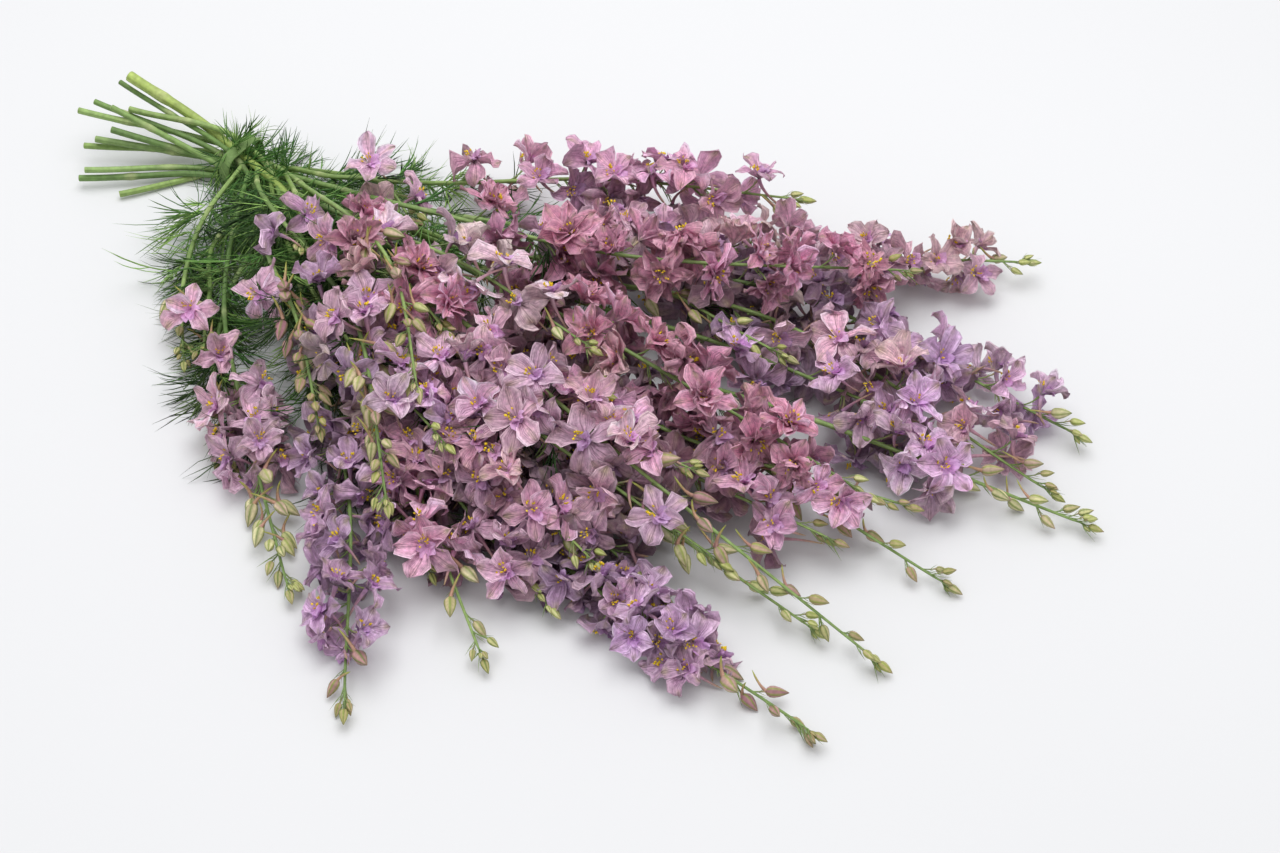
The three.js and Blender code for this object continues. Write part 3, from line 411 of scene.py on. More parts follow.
# Gathers the grids of one piece: its points, colours, surface coordinates and faces.
def newGrowth():
    return dict(points=[], tints=[], uvs=[], quads=[], finishes=[], size=0)


finishes = ["sepalSkin", "petalSkin", "greenSkin", "budSkin", "pollenSkin", "leafSkin", "pithSkin", "tieSkin"]
(sepalFinish, petalFinish, greenFinish, budFinish,
 pollenFinish, leafFinish, pithFinish, tieFinish) = range(len(finishes))


# Adds any number of grids of rings. A closed one joins its last column to its first.
def addGrids(growth, points, tints, finish, closed=False):
    count, rows, cols = points.shape[:3]
    numbers = np.arange(rows * cols).reshape(rows, cols)
    if closed:
        numbers = np.hstack([numbers, numbers[:, :1]])
    quads = np.stack([numbers[:-1, :-1], numbers[:-1, 1:], numbers[1:, 1:], numbers[1:, :-1]], axis=-1)
    quads = quads.reshape(1, -1, 4) + (np.arange(count) * rows * cols)[:, None, None] + growth["size"]
    v, u = np.meshgrid(np.linspace(0, 1, rows), np.linspace(0, 1, cols), indexing="ij")
    growth["points"].append(points.reshape(-1, 3))
    growth["tints"].append(np.broadcast_to(tints, points.shape).reshape(-1, 3))
    growth["uvs"].append(np.tile(np.stack([u, v], axis=-1).reshape(-1, 2), (count, 1)))
    growth["quads"].append(quads.reshape(-1, 4))
    growth["finishes"].append(np.full(quads.shape[0] * quads.shape[1], finish))
    growth["size"] += count * rows * cols


# The rings of a tube along a line. Its five ridges rise by a part of its radius.
def tubeGrid(line, radii, sides, ridges=0.0):
    runs = unitRows(np.gradient(line, axis=0))
    side = sideOf(runs[0])
    angles = np.arange(sides) * 2 * math.pi / sides
    rings = []
    for centre, run, radius in zip(line, runs, np.broadcast_to(radii, len(line))):
        side = squared(side, run)
        other = np.cross(run, side)
        reach = radius * (1 + ridges * np.cos(angles * 5))[:, None]
        rings.append(centre + reach * (np.cos(angles)[:, None] * side + np.sin(angles)[:, None] * other))
    return np.array(rings)


def addTube(growth, line, radii, tints, finish, sides=6, ridges=0.0):
    if tints.ndim == 2:
        tints = tints[:, None]
    addGrids(growth, tubeGrid(line, radii, sides, ridges)[None], tints, finish, closed=True)


# Soft parts lie down on the surface instead of passing through it.
def aboveFloor(points, rest=2.4):
    height = points[..., 2]
    sunk = rest * np.exp((np.minimum(height, rest) - rest) / rest / 1.6) + 0.02
    points[..., 2] = np.where(height < rest, sunk, height)
    return points


sepal = {
    "rows": [0, 0.15, 0.33, 0.52, 0.7, 0.85, 0.95, 1],
    "columns": 8,
    "broad": [0.12, 0.3, 0.62, 0.92, 1, 0.8, 0.46, 0.08],       # half width at each row
    "narrow": [0.13, 0.35, 0.72, 0.98, 0.9, 0.54, 0.22, 0.01],
    "rise": 38,             # degrees that it leaves the middle at
    "reflex": -14,          # and that it ends at
    "fold": 0.34,           # how deep its middle lies, as a share of its half width
    "ruffle": 1.9,          # mm that its edge waves
    "crumple": 1.2,
    "pleat": 0.34,
    "jag": 0.1,
}
innerPetal = {
    "rows": [0, 0.25, 0.52, 0.8, 1],
    "columns": 7,
    "broad": [0.25, 0.65, 1, 0.86, 0.25],
    "narrow": [0.25, 0.72, 0.94, 0.56, 0.06],
    "length": 9.6,
    "width": 0.72,          # of the length
    "angles": [-22, 26, -80, 84, 4],        # round the middle, from the way that the spike runs
    "sizes": [1, 1, 0.85, 0.85, 0.62],
    "ruffle": 1.0,
    "crumple": 0.5,
    "pleat": 0.3,
    "jag": 0.1,
}


# Sepals or petals round one middle, each an own grid. Every measure is one number for each of them.
def petalGrids(kind, origin, facing, across, angles, length, width, rise, reflex, fold, narrow, wild, key):
    count = len(angles)
    rows = np.array(kind["rows"])
    v = rows[None, :, None]
    u = np.linspace(-1, 1, kind["columns"])[None, None, :]
    numbers = key * 31 + np.arange(count)
    length, width, rise, reflex, fold, narrow, wild = (
        np.broadcast_to(np.asarray(values, float), (count,))[:, None, None]
        for values in (length, width, rise, reflex, fold, narrow, wild))
    phase = [6.28 * draw(numbers, channel)[:, None, None] for channel in range(40, 48)]
    bend = [1.25 * sway(numbers, channel)[:, None, None] for channel in range(130, 136)]
    spin = np.radians(angles)[:, None, None, None]
    radial = across * np.cos(spin) + np.cross(facing, across) * np.sin(spin)
    around = np.cross(facing, radial)
    tipCurl = 45 * bend[0] * wild * np.maximum(0, v - 0.65) / 0.35
    slope = np.radians(rise + (reflex - rise) * v ** 0.8 + tipCurl)
    middle = (slope[:, 1:] + slope[:, :-1]) / 2
    steps = np.diff(rows)[None, :, None]
    start = np.zeros((count, 1, 1))
    out = np.concatenate([start, np.cumsum(np.cos(middle) * steps, axis=1)], axis=1) * length
    up = np.concatenate([start, np.cumsum(np.sin(middle) * steps, axis=1)], axis=1) * length
    outline = mix(np.array(kind["broad"])[None, :, None], np.array(kind["narrow"])[None, :, None], narrow)
    side = np.sign(u)
    jag = np.sin(7 * v + phase[0] + 2.1 * side) + np.sin(17 * v + phase[1] - 1.7 * side)
    half = width / 2 * outline * (1 + kind["jag"] * jag)
    turn = np.radians(26 * bend[1] * v * wild)
    normal = -np.sin(slope)[..., None] * radial + np.cos(slope)[..., None] * facing
    widthWay = np.cos(turn)[..., None] * around + np.sin(turn)[..., None] * normal
    upWay = np.cos(turn)[..., None] * normal - np.sin(turn)[..., None] * around
    edge = np.abs(u) ** 2 * (0.15 + v)
    wave = np.sin(8 * v + phase[2] + side * phase[3]) + 0.5 * np.sin(15 * v + phase[4] + side * phase[5])
    curl = np.where(side > 0, bend[2], bend[3])
    lift = fold * half * np.abs(u) ** 1.3 + kind["ruffle"] * wild * edge * wave
    lift = lift + 0.45 * half * curl * wild * np.abs(u) ** 3 * np.minimum(1, 2 * v)
    lift = lift + kind["crumple"] * wild * np.sin(3.2 * u + phase[6]) * np.sin(5 * v + phase[7])
    lift = lift + kind["pleat"] * v * np.sin(9.5 * u + phase[5])
    bow = 0.16 * bend[4] * length * v ** 2
    return (origin + out[..., None] * radial + up[..., None] * facing
            + (half * u + bow)[..., None] * widthWay + lift[..., None] * upWay)


# Each tone of flower: the face of its sepals, their edges, and the petals at its middle.
flowerTones = {
    "mauve": [srgb(224, 174, 204), srgb(248, 214, 230), srgb(236, 178, 228)],
    "lilac": [srgb(216, 172, 216), srgb(242, 208, 240), srgb(232, 174, 234)],
    "rose": [srgb(230, 166, 204), srgb(250, 206, 228), srgb(234, 170, 220)],
    "pink": [srgb(234, 152, 192), srgb(250, 194, 216), srgb(236, 162, 206)],
    "pale": [srgb(234, 194, 214), srgb(246, 216, 228), srgb(228, 176, 228)],
}
oldTint, markTint, clawTint = srgb(182, 148, 150), srgb(196, 184, 140), srgb(226, 212, 208)
creamTint, innerPale = srgb(230, 224, 186), srgb(222, 202, 232)
spurTint, spurEnd = srgb(200, 150, 156), srgb(190, 164, 120)
pollenTint, filamentTint, seedTint = srgb(246, 212, 48), srgb(230, 212, 196), srgb(174, 184, 96)


# Paler at the edges, with a green midrib and tip, darker at the base with painted shade, and browner the
# older it is.
def sepalTints(kind, face, edge, count, key, old):
    v = np.array(kind["rows"])[None, :, None, None]
    u = np.linspace(-1, 1, kind["columns"])[None, None, :, None]
    numbers = (key * 17 + np.arange(count))[:, None, None, None]
    tint = mix(face, edge, np.abs(u) ** 2.2 * 0.8 + 0.12 * v)
    tint = tint * (1 + 0.09 * np.sin(10 * u + 6 * draw(numbers, 140)) * np.minimum(1, 2 * v))
    midrib = np.exp(-(u / 0.22) ** 2) * np.clip(v * 1.6 - 0.2, 0, 1) * (0.1 + 0.4 * draw(numbers, 141))
    tint = mix(tint, markTint, midrib)
    mark = np.exp(-((v - 0.9) / 0.14) ** 2 - (u / 0.5) ** 2) * (0.15 + 0.75 * draw(numbers, 51) ** 1.5)
    tint = mix(tint, markTint * 0.95, mark)
    tint = mix(tint, clawTint, np.clip(1 - v / 0.24, 0, 1) * 0.55)
    tint = mix(tint, oldTint, np.clip(old * (0.35 + 0.65 * np.abs(u)) * v, 0, 0.8))
    # Painted shade: darker towards the base, deep inside the flower.
    tint = tint * (0.75 + 0.25 * np.clip(v / 0.4, 0, 1))
    return tint * (0.86 + 0.44 * draw(numbers, 50))


cover = {"gap": 9, "height": 24, "across": 26, "full": 1.6}     # full: as many flowers as hide one wholly


# How much lies over each flower, from nothing to 1; it sets the painted shade of those underneath.
def coverOf(places):
    apart = places[None] - places[:, None]
    near = np.exp(-(apart[..., 0] ** 2 + apart[..., 1] ** 2) / cover["across"] ** 2)
    over = np.clip((apart[..., 2] - cover["gap"]) / cover["height"], 0, 1) * near
    return np.clip(over.sum(axis=1) / cover["full"], 0, 1)


def warmed(tint, key):
    return tint * (0.99 + 0.2 * sway(key, 52) + 0.05 * np.array([sway(key, 53), 0, sway(key, 54)]))


flower = {
    "sepalLength": 1.12,        # of the reach of the solid
    "sepalWidth": 14.2,
    # Of a double flower: how many, the part of the length, the width, the degrees at the base and end.
    "doubleRings": [(5, 1.0, 13, 26, -10), (6, 0.9, 11, 40, 2), (5, 0.7, 9, 56, 20), (4, 0.46, 6.5, 72, 46)],
    "doubleSize": 1.08,
    "stamens": 9,
    "doubleStamens": 13,
    "stamen": [(-0.1, 0.16), (0.8, 0.98), (1.9, 0.1)],      # its head: how far out, and the radius
    "spur": 18,
    "spurRadius": 1.7,
    "tilt": 40,                 # degrees that a flower may lean from the solid's
    "wiltShare": 0.2,
    "smallStems": (8, 11),      # whose flowers are smaller and less open
    "smallSize": 0.88,
    "smallShade": 0.95,
    "paintedDeepShade": 0.58,          # painted shade: how much darker the flowers under others are
}


def addStamens(growth, origin, facing, across, count, spreadOut, key):
    numbers = key * 13 + np.arange(count)
    angle = 2 * math.pi * draw(numbers, 60)
    lean = (spreadOut * (0.3 + 0.7 * draw(numbers, 61)))[:, None]
    radial = np.cos(angle)[:, None] * across + np.sin(angle)[:, None] * np.cross(facing, across)
    way = unitRows(facing + lean * radial)
    length = (4.4 + 2.6 * draw(numbers, 62))[:, None]
    start = origin + 0.5 * facing + 0.7 * radial
    end = start + way * length
    side = unitRows(np.cross(way, facing + 0.3 * across))
    other = np.cross(way, side)

    def ringOf(corners, flatness):
        angles = (np.arange(corners) * 2 * math.pi / corners)[None, :, None]
        return np.cos(angles) * side[:, None] + flatness * np.sin(angles) * other[:, None]

    thread, ring = ringOf(3, 1), ringOf(4, 0.6)
    addGrids(growth, np.stack([start[:, None] + 0.2 * thread, end[:, None] + 0.12 * thread], axis=1),
             filamentTint, pollenFinish, closed=True)
    head = np.stack([end[:, None] + way[:, None] * along + ring * radius
                     for along, radius in flower["stamen"]], axis=1)
    tint = pollenTint * (0.7 + 0.5 * draw(numbers, 63))[:, None, None, None]
    addGrids(growth, head, tint, pollenFinish, closed=True)


# Thin green blades, such as the strips of a leaf and the bracts under a flower.
def addBlades(growth, starts, ways, bends, lengths, widths, tints, finish=leafFinish, rings=4):
    share = np.linspace(0, 1, rings)
    side = unitRows(np.cross(ways, bends + 1e-4))
    other = np.cross(ways, side)
    centres = (starts[:, None] + ways[:, None] * (lengths[:, None] * share)[..., None]
               + bends[:, None] * (lengths[:, None] * share ** 2)[..., None])
    half = widths[:, None] / 2 * np.interp(share, [0, 0.3, 0.8, 1], [0.8, 1, 0.75, 0.08])
    rim = [half[..., None] * (a * side[:, None] + b * other[:, None])
           for a, b in ((1, 0.2), (-1, 0.2), (0, -0.6))]
    grid = aboveFloor(np.stack([centres + edge for edge in rim], axis=2), 1.2)
    shade = np.interp(share, [0, 1], [1.12, 0.92])[None, :, None, None]
    tints = np.broadcast_to(tints, (len(starts), 3))[:, None, None, :] * shade
    addGrids(growth, grid, tints, finish, closed=True)


stalkTints = [srgb(124, 150, 86), srgb(138, 162, 98), srgb(186, 158, 134)]


# The stalk of a flower or bud, with the narrow bract at its root and two more half way.
def addStalk(growth, start, way, end, key, radius=0.6):
    share = np.linspace(0, 1, 6)
    line = arc(start, start + way * np.linalg.norm(end - start) * 0.5, end, share[:, None])
    tint = mix(stalkTints[0], stalkTints[2], draw(key, 70) * share[:, None] ** 2)
    swell = np.interp(share, [0, 0.12, 0.85, 1], [1.5, 1, 1.05, 1.6])
    addTube(growth, line, radius * swell, tint, greenFinish, 4)
    run = unit(end - start)
    side = unit(np.cross(run, [0.3, 0.2, 1]))
    spots = np.array([line[0], line[2] * 0.6 + line[3] * 0.4, line[3]])
    ways = np.array([unit(way + 0.5 * side), unit(run + 0.8 * side), unit(run - 0.8 * side)])
    bends = 0.35 * run + 0.12 * np.array([sway(key, 71), sway(key, 72), sway(key, 73)]) + np.zeros((3, 1))
    lengths = np.array([8 + 4 * draw(key, 74), 3.5 + 2 * draw(key, 75), 3.5 + 2 * draw(key, 76)])
    addBlades(growth, spots, ways, bends, lengths, np.array([0.9, 0.6, 0.6]), stalkTints[1], greenFinish, 3)


def addSpur(growth, start, way, curl, length, radius, tints):
    share = np.linspace(0, 1, 7)
    line = aboveFloor(start + way * length * share[:, None] + curl * length * share[:, None] ** 2.2, 2.0)
    radii = radius * np.interp(share, [0, 0.15, 0.5, 0.92, 1], [1, 0.86, 0.58, 0.42, 0.12])
    tint = np.stack([np.interp(share, [0, 0.5, 1], values) for values in np.array(tints).T], axis=1)
    addTube(growth, line, radii, tint, budFinish, 4)


def addFlower(growth, head, reach=1.0, tilt=flower["tilt"]):
    key, tone, run, middle = head["key"], head["strand"]["tone"], head["run"], head["middle"]
    isDouble, isSmall = tone == "pink", head["strand"]["order"] in flower["smallStems"]
    # Painted shade, darker the more flowers lie over this one, times a darker tone on the small stems.
    shade = (1 - flower["paintedDeepShade"] * head["cover"]) * (flower["smallShade"] if isSmall else 1)
    face, edge, inner = (warmed(tint, key) * shade for tint in flowerTones[tone])
    facing = facingOf(head)
    across = turned(squared(run, facing), facing, 360 * draw(key, 4))
    facing = turned(facing, across, tilt * sway(key, 150))
    across = squared(across, facing)
    wilted = draw(key, 151) < flower["wiltShare"]
    closed = 0 if wilted else max(draw(key, 152) ** (0.8 if isSmall else 1.5),
                                  2 * (head["toTip"] - 0.6) * draw(key, 155))
    if closed > 0.8 and not isSmall:
        face, edge = mix(face, creamTint, 0.15), mix(edge, creamTint, 0.35)
    pressed = min(max(-facing[2], 0), 1) * min(max((24 - middle[2]) / 14, 0), 1)
    old = 0.7 * draw(key, 153) if wilted else 0.3 * draw(key, 153) ** 2
    wild = 1.7 if wilted else 0.75 + 0.5 * draw(key, 154)
    young = 1 - 0.45 * max(0, head["toTip"] - 0.6)
    young *= (0.88 + 0.18 * draw(key, 156)) * (flower["smallSize"] if isSmall else 1)
    length = layout["petalReach"] * flower["sepalLength"] * reach * young
    length *= flower["doubleSize"] if isDouble else 1
    leaving = unit(middle - head["root"] + 0.5 * head["stalk"] * run)
    addStalk(growth, head["root"], leaving, middle - facing * 1.5, key)
    swing = 24 * closed + (-22 if wilted else 0) - 45 * pressed
    singleRing = (5, 1.0, flower["sepalWidth"], sepal["rise"], sepal["reflex"])
    rings = flower["doubleRings"] if isDouble else [singleRing]
    for order, (count, share, width, rise, reflex) in enumerate(rings):
        numbers = key * 7 + 50 * order + np.arange(count)
        angles = 360 / count * (np.arange(count) + 0.5 * order) + 13 * sway(numbers, 55)
        kind = sepal if order < 2 else innerPetal
        lengths = length * share * (1 + 0.1 * sway(numbers, 10))
        widths = width * reach * young * (1 + 0.16 * sway(numbers, 56))
        rises = rise + swing + 20 * sway(numbers, 57)
        reflexes = reflex + 1.6 * swing + 32 * sway(numbers, 58)
        folds = sepal["fold"] + 0.3 * sway(numbers, 59)
        narrows = 0.9 if isDouble else np.clip(0.4 + 0.6 * sway(numbers, 66), 0, 1)
        grid = petalGrids(kind, middle + facing * 0.25 * order, facing, across, angles, lengths, widths,
                          rises, reflexes, folds, narrows, wild, key + order)
        tints = sepalTints(kind, face * (1 - 0.05 * order), edge, count, key + order, old)
        addGrids(growth, aboveFloor(grid), tints, sepalFinish)
    if isDouble:
        addStamens(growth, middle + facing, facing, across, flower["doubleStamens"], 0.9, key)
        core = middle + facing * np.linspace(0.6, 4.0, 4)[:, None]
        addTube(growth, core, [1.2, 1.5, 1.0, 0.15], seedTint, greenFinish, 6)
    else:
        addMiddle(growth, head, facing, across, reach, face, inner)


# The small petals, spur and stamens at the middle of a single flower.
def addMiddle(growth, head, facing, across, reach, face, inner):
    key, run, middle = head["key"], head["run"], head["middle"]
    numbers = key * 5 + np.arange(5)
    up = math.degrees(math.atan2(np.dot(np.cross(facing, across), run), np.dot(across, run)))
    angles = up + np.array(innerPetal["angles"]) + 10 * sway(numbers, 80)
    size = innerPetal["length"] * reach * np.array(innerPetal["sizes"]) * (1 + 0.15 * sway(numbers, 81))
    rises, reflexes = 74 + 12 * sway(numbers, 82), 14 + 34 * sway(numbers, 83)
    grid = petalGrids(innerPetal, middle + facing * 0.7, facing, across, angles, size,
                      size * innerPetal["width"], rises, reflexes, 0.35, draw(numbers, 84), 1.0, key + 5000)
    pale = np.array(innerPetal["rows"])[None, :, None, None] ** 2 * 0.35
    tints = mix(inner, innerPale, pale + 0.15 * draw(numbers, 85)[:, None, None, None])
    addGrids(growth, aboveFloor(grid), tints, petalFinish)
    curl = 0.36 * run + 0.2 * np.array([sway(key, 86), sway(key, 87), sway(key, 89)])
    addSpur(growth, middle - facing * 0.3 + 0.6 * run, unit(0.4 * run - facing), curl,
            flower["spur"] * (0.8 + 0.4 * draw(key, 88)), flower["spurRadius"],
            [face * 0.95, mix(face, spurTint, 0.7), spurEnd])
    addStamens(growth, middle - 1.4 * squared(run, facing), unit(facing - 0.35 * run), across,
               flower["stamens"], 0.55, key)


bud = {
    "length": 17.5,
    "tipLength": 9.5,
    "fatness": 0.24,
    "spur": 14,
    "spurUntil": 0.7,           # buds nearer to the tip have none
    "sides": 15,
    "ribs": 5,
    "rows": [0, 0.1, 0.26, 0.46, 0.68, 0.86, 1],
    "girth": [0.3, 0.72, 0.97, 1, 0.8, 0.44, 0.06],
    "extraUntil": 0.85,         # how near the tip more of them stand between
    "extraReach": 380,          # of the longest spike that has them
    "extraClimb": 48,
    # At the tip: how near, and the stalk and size of each.
    "tipCrowd": [(0.45, 9, 0.95), (0.68, 7, 0.85), (0.86, 5, 0.7), (0.97, 3, 0.6)],
}
budGreen, budDark, budCream, budMauve, budTan = (
    srgb(174, 190, 78), srgb(88, 118, 38), srgb(234, 226, 180), srgb(194, 138, 150), srgb(200, 158, 130))


def addBud(growth, head, size=1.0):
    key, toTip = head["key"], head["toTip"]
    length = mix(bud["length"], bud["tipLength"], toTip) * (0.92 + 0.16 * draw(key, 90)) * size
    way = unit(head["middle"] - head["root"])
    neck = head["root"] + way * head["stalk"]
    nod = unit(way + head["run"] * (0.5 + 0.4 * sway(key, 5)))
    addStalk(growth, head["root"], unit(way + 0.3 * head["run"]), neck, key, mix(0.65, 0.45, toTip))
    tip = neck + nod * length
    belly = neck + nod * 0.42 * length
    belly[2], tip[2] = max(belly[2], 0.27 * length), max(tip[2], 0.8)
    rows = np.array(bud["rows"])
    line = arc(neck, 2 * belly - (neck + tip) / 2, tip, rows[:, None])
    grid = tubeGrid(line, bud["fatness"] * length * np.array(bud["girth"]), bud["sides"])
    angles = np.arange(bud["sides"]) * 2 * math.pi / bud["sides"]
    ribs = np.cos(angles * bud["ribs"])
    lobes = 1 + 0.12 * ribs[None, :] * np.interp(rows, [0, 0.3, 1], [0, 1, 0.6])[:, None]
    grid = line[:, None] + (grid - line[:, None]) * lobes[..., None]
    stripe = np.clip(ribs, 0, 1)[None, :, None]
    ripe = np.clip(1.3 - 0.55 * toTip - 0.3 * draw(key, 91), 0.45, 1)
    warmth = np.clip(1.4 * draw(head["strand"]["order"], 161) - 0.25 + 0.4 * sway(key, 92), 0, 1)
    sides = mix(budCream, budMauve, warmth) * (0.9 + 0.2 * np.sin(3 * angles + key))[None, :, None]
    skin = mix(budGreen * 1.15, sides, ripe)
    tint = mix(skin, mix(budDark, budGreen, 0.7 * draw(key, 93)), stripe * (0.75 + 0.25 * draw(key, 94)))
    ends = np.interp(rows, [0, 0.12, 0.8, 1], [0.5, 0, 0, 0.7])[:, None, None]
    tint = mix(tint, mix(budDark, budMauve * 0.6, draw(key, 95)), ends)
    addGrids(growth, aboveFloor(grid[None], 1.5), tint[None], budFinish, closed=True)
    if toTip < bud["spurUntil"]:
        side = squared(np.array([sway(key, 96), sway(key, 97), 0.7]), nod)
        away = unit(0.55 * side - nod)
        curl = 0.75 * unit(side + np.array([sway(key, 98), sway(key, 99), 0.2]))
        addSpur(growth, neck + nod * 0.6, away, curl, bud["spur"] * (1 - 0.6 * toTip), 1.9 - 0.9 * toTip,
                [mix(budTan, budMauve, draw(key, 89)), budTan, budGreen])


stem = {
    "sides": 10,
    "tipRadius": 1.55,
    "nodeEvery": 75,        # between the knots that leaves grew from
    "nodeLength": 3.4,
    "nodeSwell": 0.26,
    "ridges": 0.035,
    "rachis": (1.6, 0.75),  # its radius at the first flower and at the tip
    "step": 6,
    "thick": 3,             # a stem with a larger radius is paler
    "cut": [(0, 1), (0.25, 0.86), (0.1, 0.45), (-0.6, 0.05)],      # how far out, and the part of the radius
}
stemTints = [srgb(118, 148, 82), srgb(136, 164, 98), srgb(98, 130, 70)]
thickTint, cutTint = srgb(168, 188, 100), srgb(222, 222, 168)


def stemTint(strand):
    if strand["radius"] > stem["thick"]:
        return thickTint
    return mix(stemTints[strand["order"] % 3], thickTint, 0.3 * draw(strand["order"], 100))


# The same line in even steps, with how far along it each is.
def evenly(line, step):
    along = np.concatenate([[0], np.cumsum(np.linalg.norm(np.diff(line, axis=0), axis=1))])
    fine = np.linspace(0, along[-1], int(along[-1] / step) + 2)
    return np.stack([np.interp(fine, along, line[:, axis]) for axis in range(3)], axis=1), fine


def addStem(growth, strand):
    line, along = evenly(strand["points"][:bloomSample(strand) + 1], stem["step"])
    share = along / along[-1]
    radii = mix(strand["radius"], stem["tipRadius"], share)
    every = stem["nodeEvery"]
    fromNode = (along - 20 - 40 * draw(strand["order"], 101) + every / 2) % every - every / 2
    knots = np.exp(-(fromNode / stem["nodeLength"]) ** 2)
    tint = stemTint(strand) * (1 + 0.12 * np.sin(along / 23 + strand["order"]))[:, None]
    tint = mix(tint, mix(tint, cutTint, 0.45), knots[:, None])
    tint = mix(tint, stemTints[2] * 0.9, 0.35 * share[:, None])
    radii = radii * (1 + stem["nodeSwell"] * knots)
    addTube(growth, line, radii, tint, greenFinish, stem["sides"], stem["ridges"])
    if strand["fork"] is None:
        run = unit(line[0] - line[1])
        rim = tubeGrid(np.array([line[0], line[0] + run]), [1, 1], stem["sides"])[0] - line[0]
        grid = np.array([line[0] + run * out + rim * strand["radius"] * part for out, part in stem["cut"]])
        tints = np.array([stemTint(strand), cutTint, cutTint * 1.05, cutTint * 0.8])[:, None]
        addGrids(growth, grid[None], tints[None], pithFinish, closed=True)


def addRachis(growth, strand):
    line, along = evenly(strand["points"][bloomSample(strand):], stem["step"])
    radii = mix(*stem["rachis"], along / along[-1])
    radii[-1] *= 0.4
    tint = mix(stemTint(strand), stalkTints[1], 0.5) * (1 + 0.1 * np.sin(along / 9))[:, None]
    addTube(growth, line, radii, tint, greenFinish, 8)


leaf = {
    "solidCount": 27,       # leaves in the solids, each where this rule puts it
    "count": 400,           # low ones on the bare stems
    "nearest": 26,          # to the tie
    "within": 300,
    "tieCount": 48,         # over the tie
    "tieSpan": (-24, 56),   # along the stems, from the tie
    "tieReach": (26, 38),
    "tieShade": 0.9,
    "deepCount": 300,       # low ones further along and under the flowers, darkened with painted shade
    "paintedDeepShade": 0.34,
    "deepFrom": 0.3,
    "deepUntil": (0.62, 0.7),       # of the length of a stem, and of one of the last three
    "lastStems": 8,         # those after this one
    "reach": 41,
    "lobes": 4,
    "forks": 2,
    "width": 1.05,
    "steepest": 0.1,        # that a low one climbs
}
leafTints = [srgb(88, 134, 64), srgb(112, 156, 78), srgb(74, 118, 58), srgb(142, 178, 96)]
# The parts of the low leaves that each main stem and its shoots carry, added up.
leafShares = np.cumsum([0.07, 0.06, 0.05, 0.06, 0.05, 0.04, 0.04, 0.05, 0.06, 0.1, 0.12, 0.3])


def keptLow(way):
    return unit(np.array([way[0], way[1], min(way[2], leaf["steepest"])]))


# A leaf cut into long narrow strips, which fork again. A low one lies down along the surface.
def addLeaf(growth, line, share, key, size, shade=1.0, low=False):
    root, run = pointAlong(line, share), runAlong(line, share)
    outward = turned(sideOf(run), run, 180 * sway(key, 2))
    if low:
        outward[2] = -abs(outward[2])
    way = unit((0.45 if low else 0.6) * outward + (0.35 + 0.8 * draw(key, 3)) * run)
    if low:
        way = keptLow(way)
    facing = leanTowards(turned(squared(run, way), way, 60 * sway(key, 4)), way)
    middle = root + way * 0.24 * size
    across = squared(way, facing)
    blades = [(root, way, 0.05 * facing, 0.26 * size, 1.1)]
    for lobe in range(leaf["lobes"]):
        angle = mix(-52, 52, lobe / (leaf["lobes"] - 1)) + 16 * sway(key, 6 + lobe)
        reachOut = size * (0.8 + 0.3 * sway(key, 12 + lobe))
        heading = unit(turned(across, facing, angle) + 0.3 * sway(key, 18 + lobe) * facing)
        if low:
            heading = keptLow(heading)
        flat = np.cross(facing, heading)
        droop = 0.28 * facing * sway(key, 24 + lobe) + (0.6 if low else 0.34) * flat * sway(key, 130 + lobe)
        blades.append((middle, heading, droop, reachOut, leaf["width"]))
        for fork in range(leaf["forks"]):
            place = 0.14 + 0.24 * fork
            sign = 1 if (fork + lobe) % 2 else -1
            split = turned(heading, facing, sign * (12 + 14 * draw(key, 30 + lobe * 4 + fork)))
            blades.append((
                middle + heading * reachOut * place + droop * reachOut * place ** 2,
                unit(split + 0.25 * sway(key, 60 + lobe * 4 + fork) * facing),
                droop + 0.3 * sway(key, 170 + lobe * 4 + fork) * flat,
                reachOut * (1 - place) * (0.8 + 0.4 * draw(key, 90 + lobe * 4 + fork)),
                leaf["width"] * 0.85))
    tint = leafTints[int(4 * draw(key, 5))] * (0.68 + 0.64 * draw(key, 160)) * shade
    addBlades(growth, *(np.array(part) for part in zip(*blades)), tint,
              rings=5 if low and shade == 1 else 4)


triangleCounts = []


# Makes the mesh of one piece, which stands for one node.
def buildPiece(name, growth, node):
    points = np.vstack(growth["points"]) / 1000
    points[:, 2] = np.maximum(points[:, 2], 0.00005)        # nothing dips into the surface
    quads = np.vstack(growth["quads"])
    mesh = bpy.data.meshes.new(name)
    mesh.vertices.add(len(points))
    mesh.vertices.foreach_set("co", points.astype(np.float32).ravel())
    mesh.loops.add(quads.size)
    mesh.loops.foreach_set("vertex_index", quads.astype(np.int32).ravel())
    mesh.polygons.add(len(quads))
    mesh.polygons.foreach_set("loop_start", np.arange(0, quads.size, 4, dtype=np.int32))
    ofFaces = np.concatenate(growth["finishes"])
    used = sorted(set(ofFaces))
    mesh.polygons.foreach_set("material_index", np.searchsorted(used, ofFaces).astype(np.int32))
    mesh.polygons.foreach_set("use_smooth", np.ones(len(quads), bool))
    mesh.update(calc_edges=True)
    for finish in used:
        mesh.materials.append(materials[finishes[finish]])
    uvLayer = mesh.uv_layers.new(name="UVMap")
    uvLayer.data.foreach_set("uv", np.vstack(growth["uvs"])[quads.ravel()].astype(np.float32).ravel())
    tints = np.clip(np.vstack(growth["tints"]), 0, 1)
    layer = mesh.color_attributes.new(name="tint", type="FLOAT_COLOR", domain="POINT")
    layer.data.foreach_set("color", np.hstack([tints, np.ones((len(tints), 1))]).astype(np.float32).ravel())
    mesh.validate()
    triangleCounts.append(2 * len(quads))
    piece = bpy.data.objects.new(name, mesh)
    bpy.context.scene.collection.objects.link(piece)
    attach(piece, "root")
    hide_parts(node)


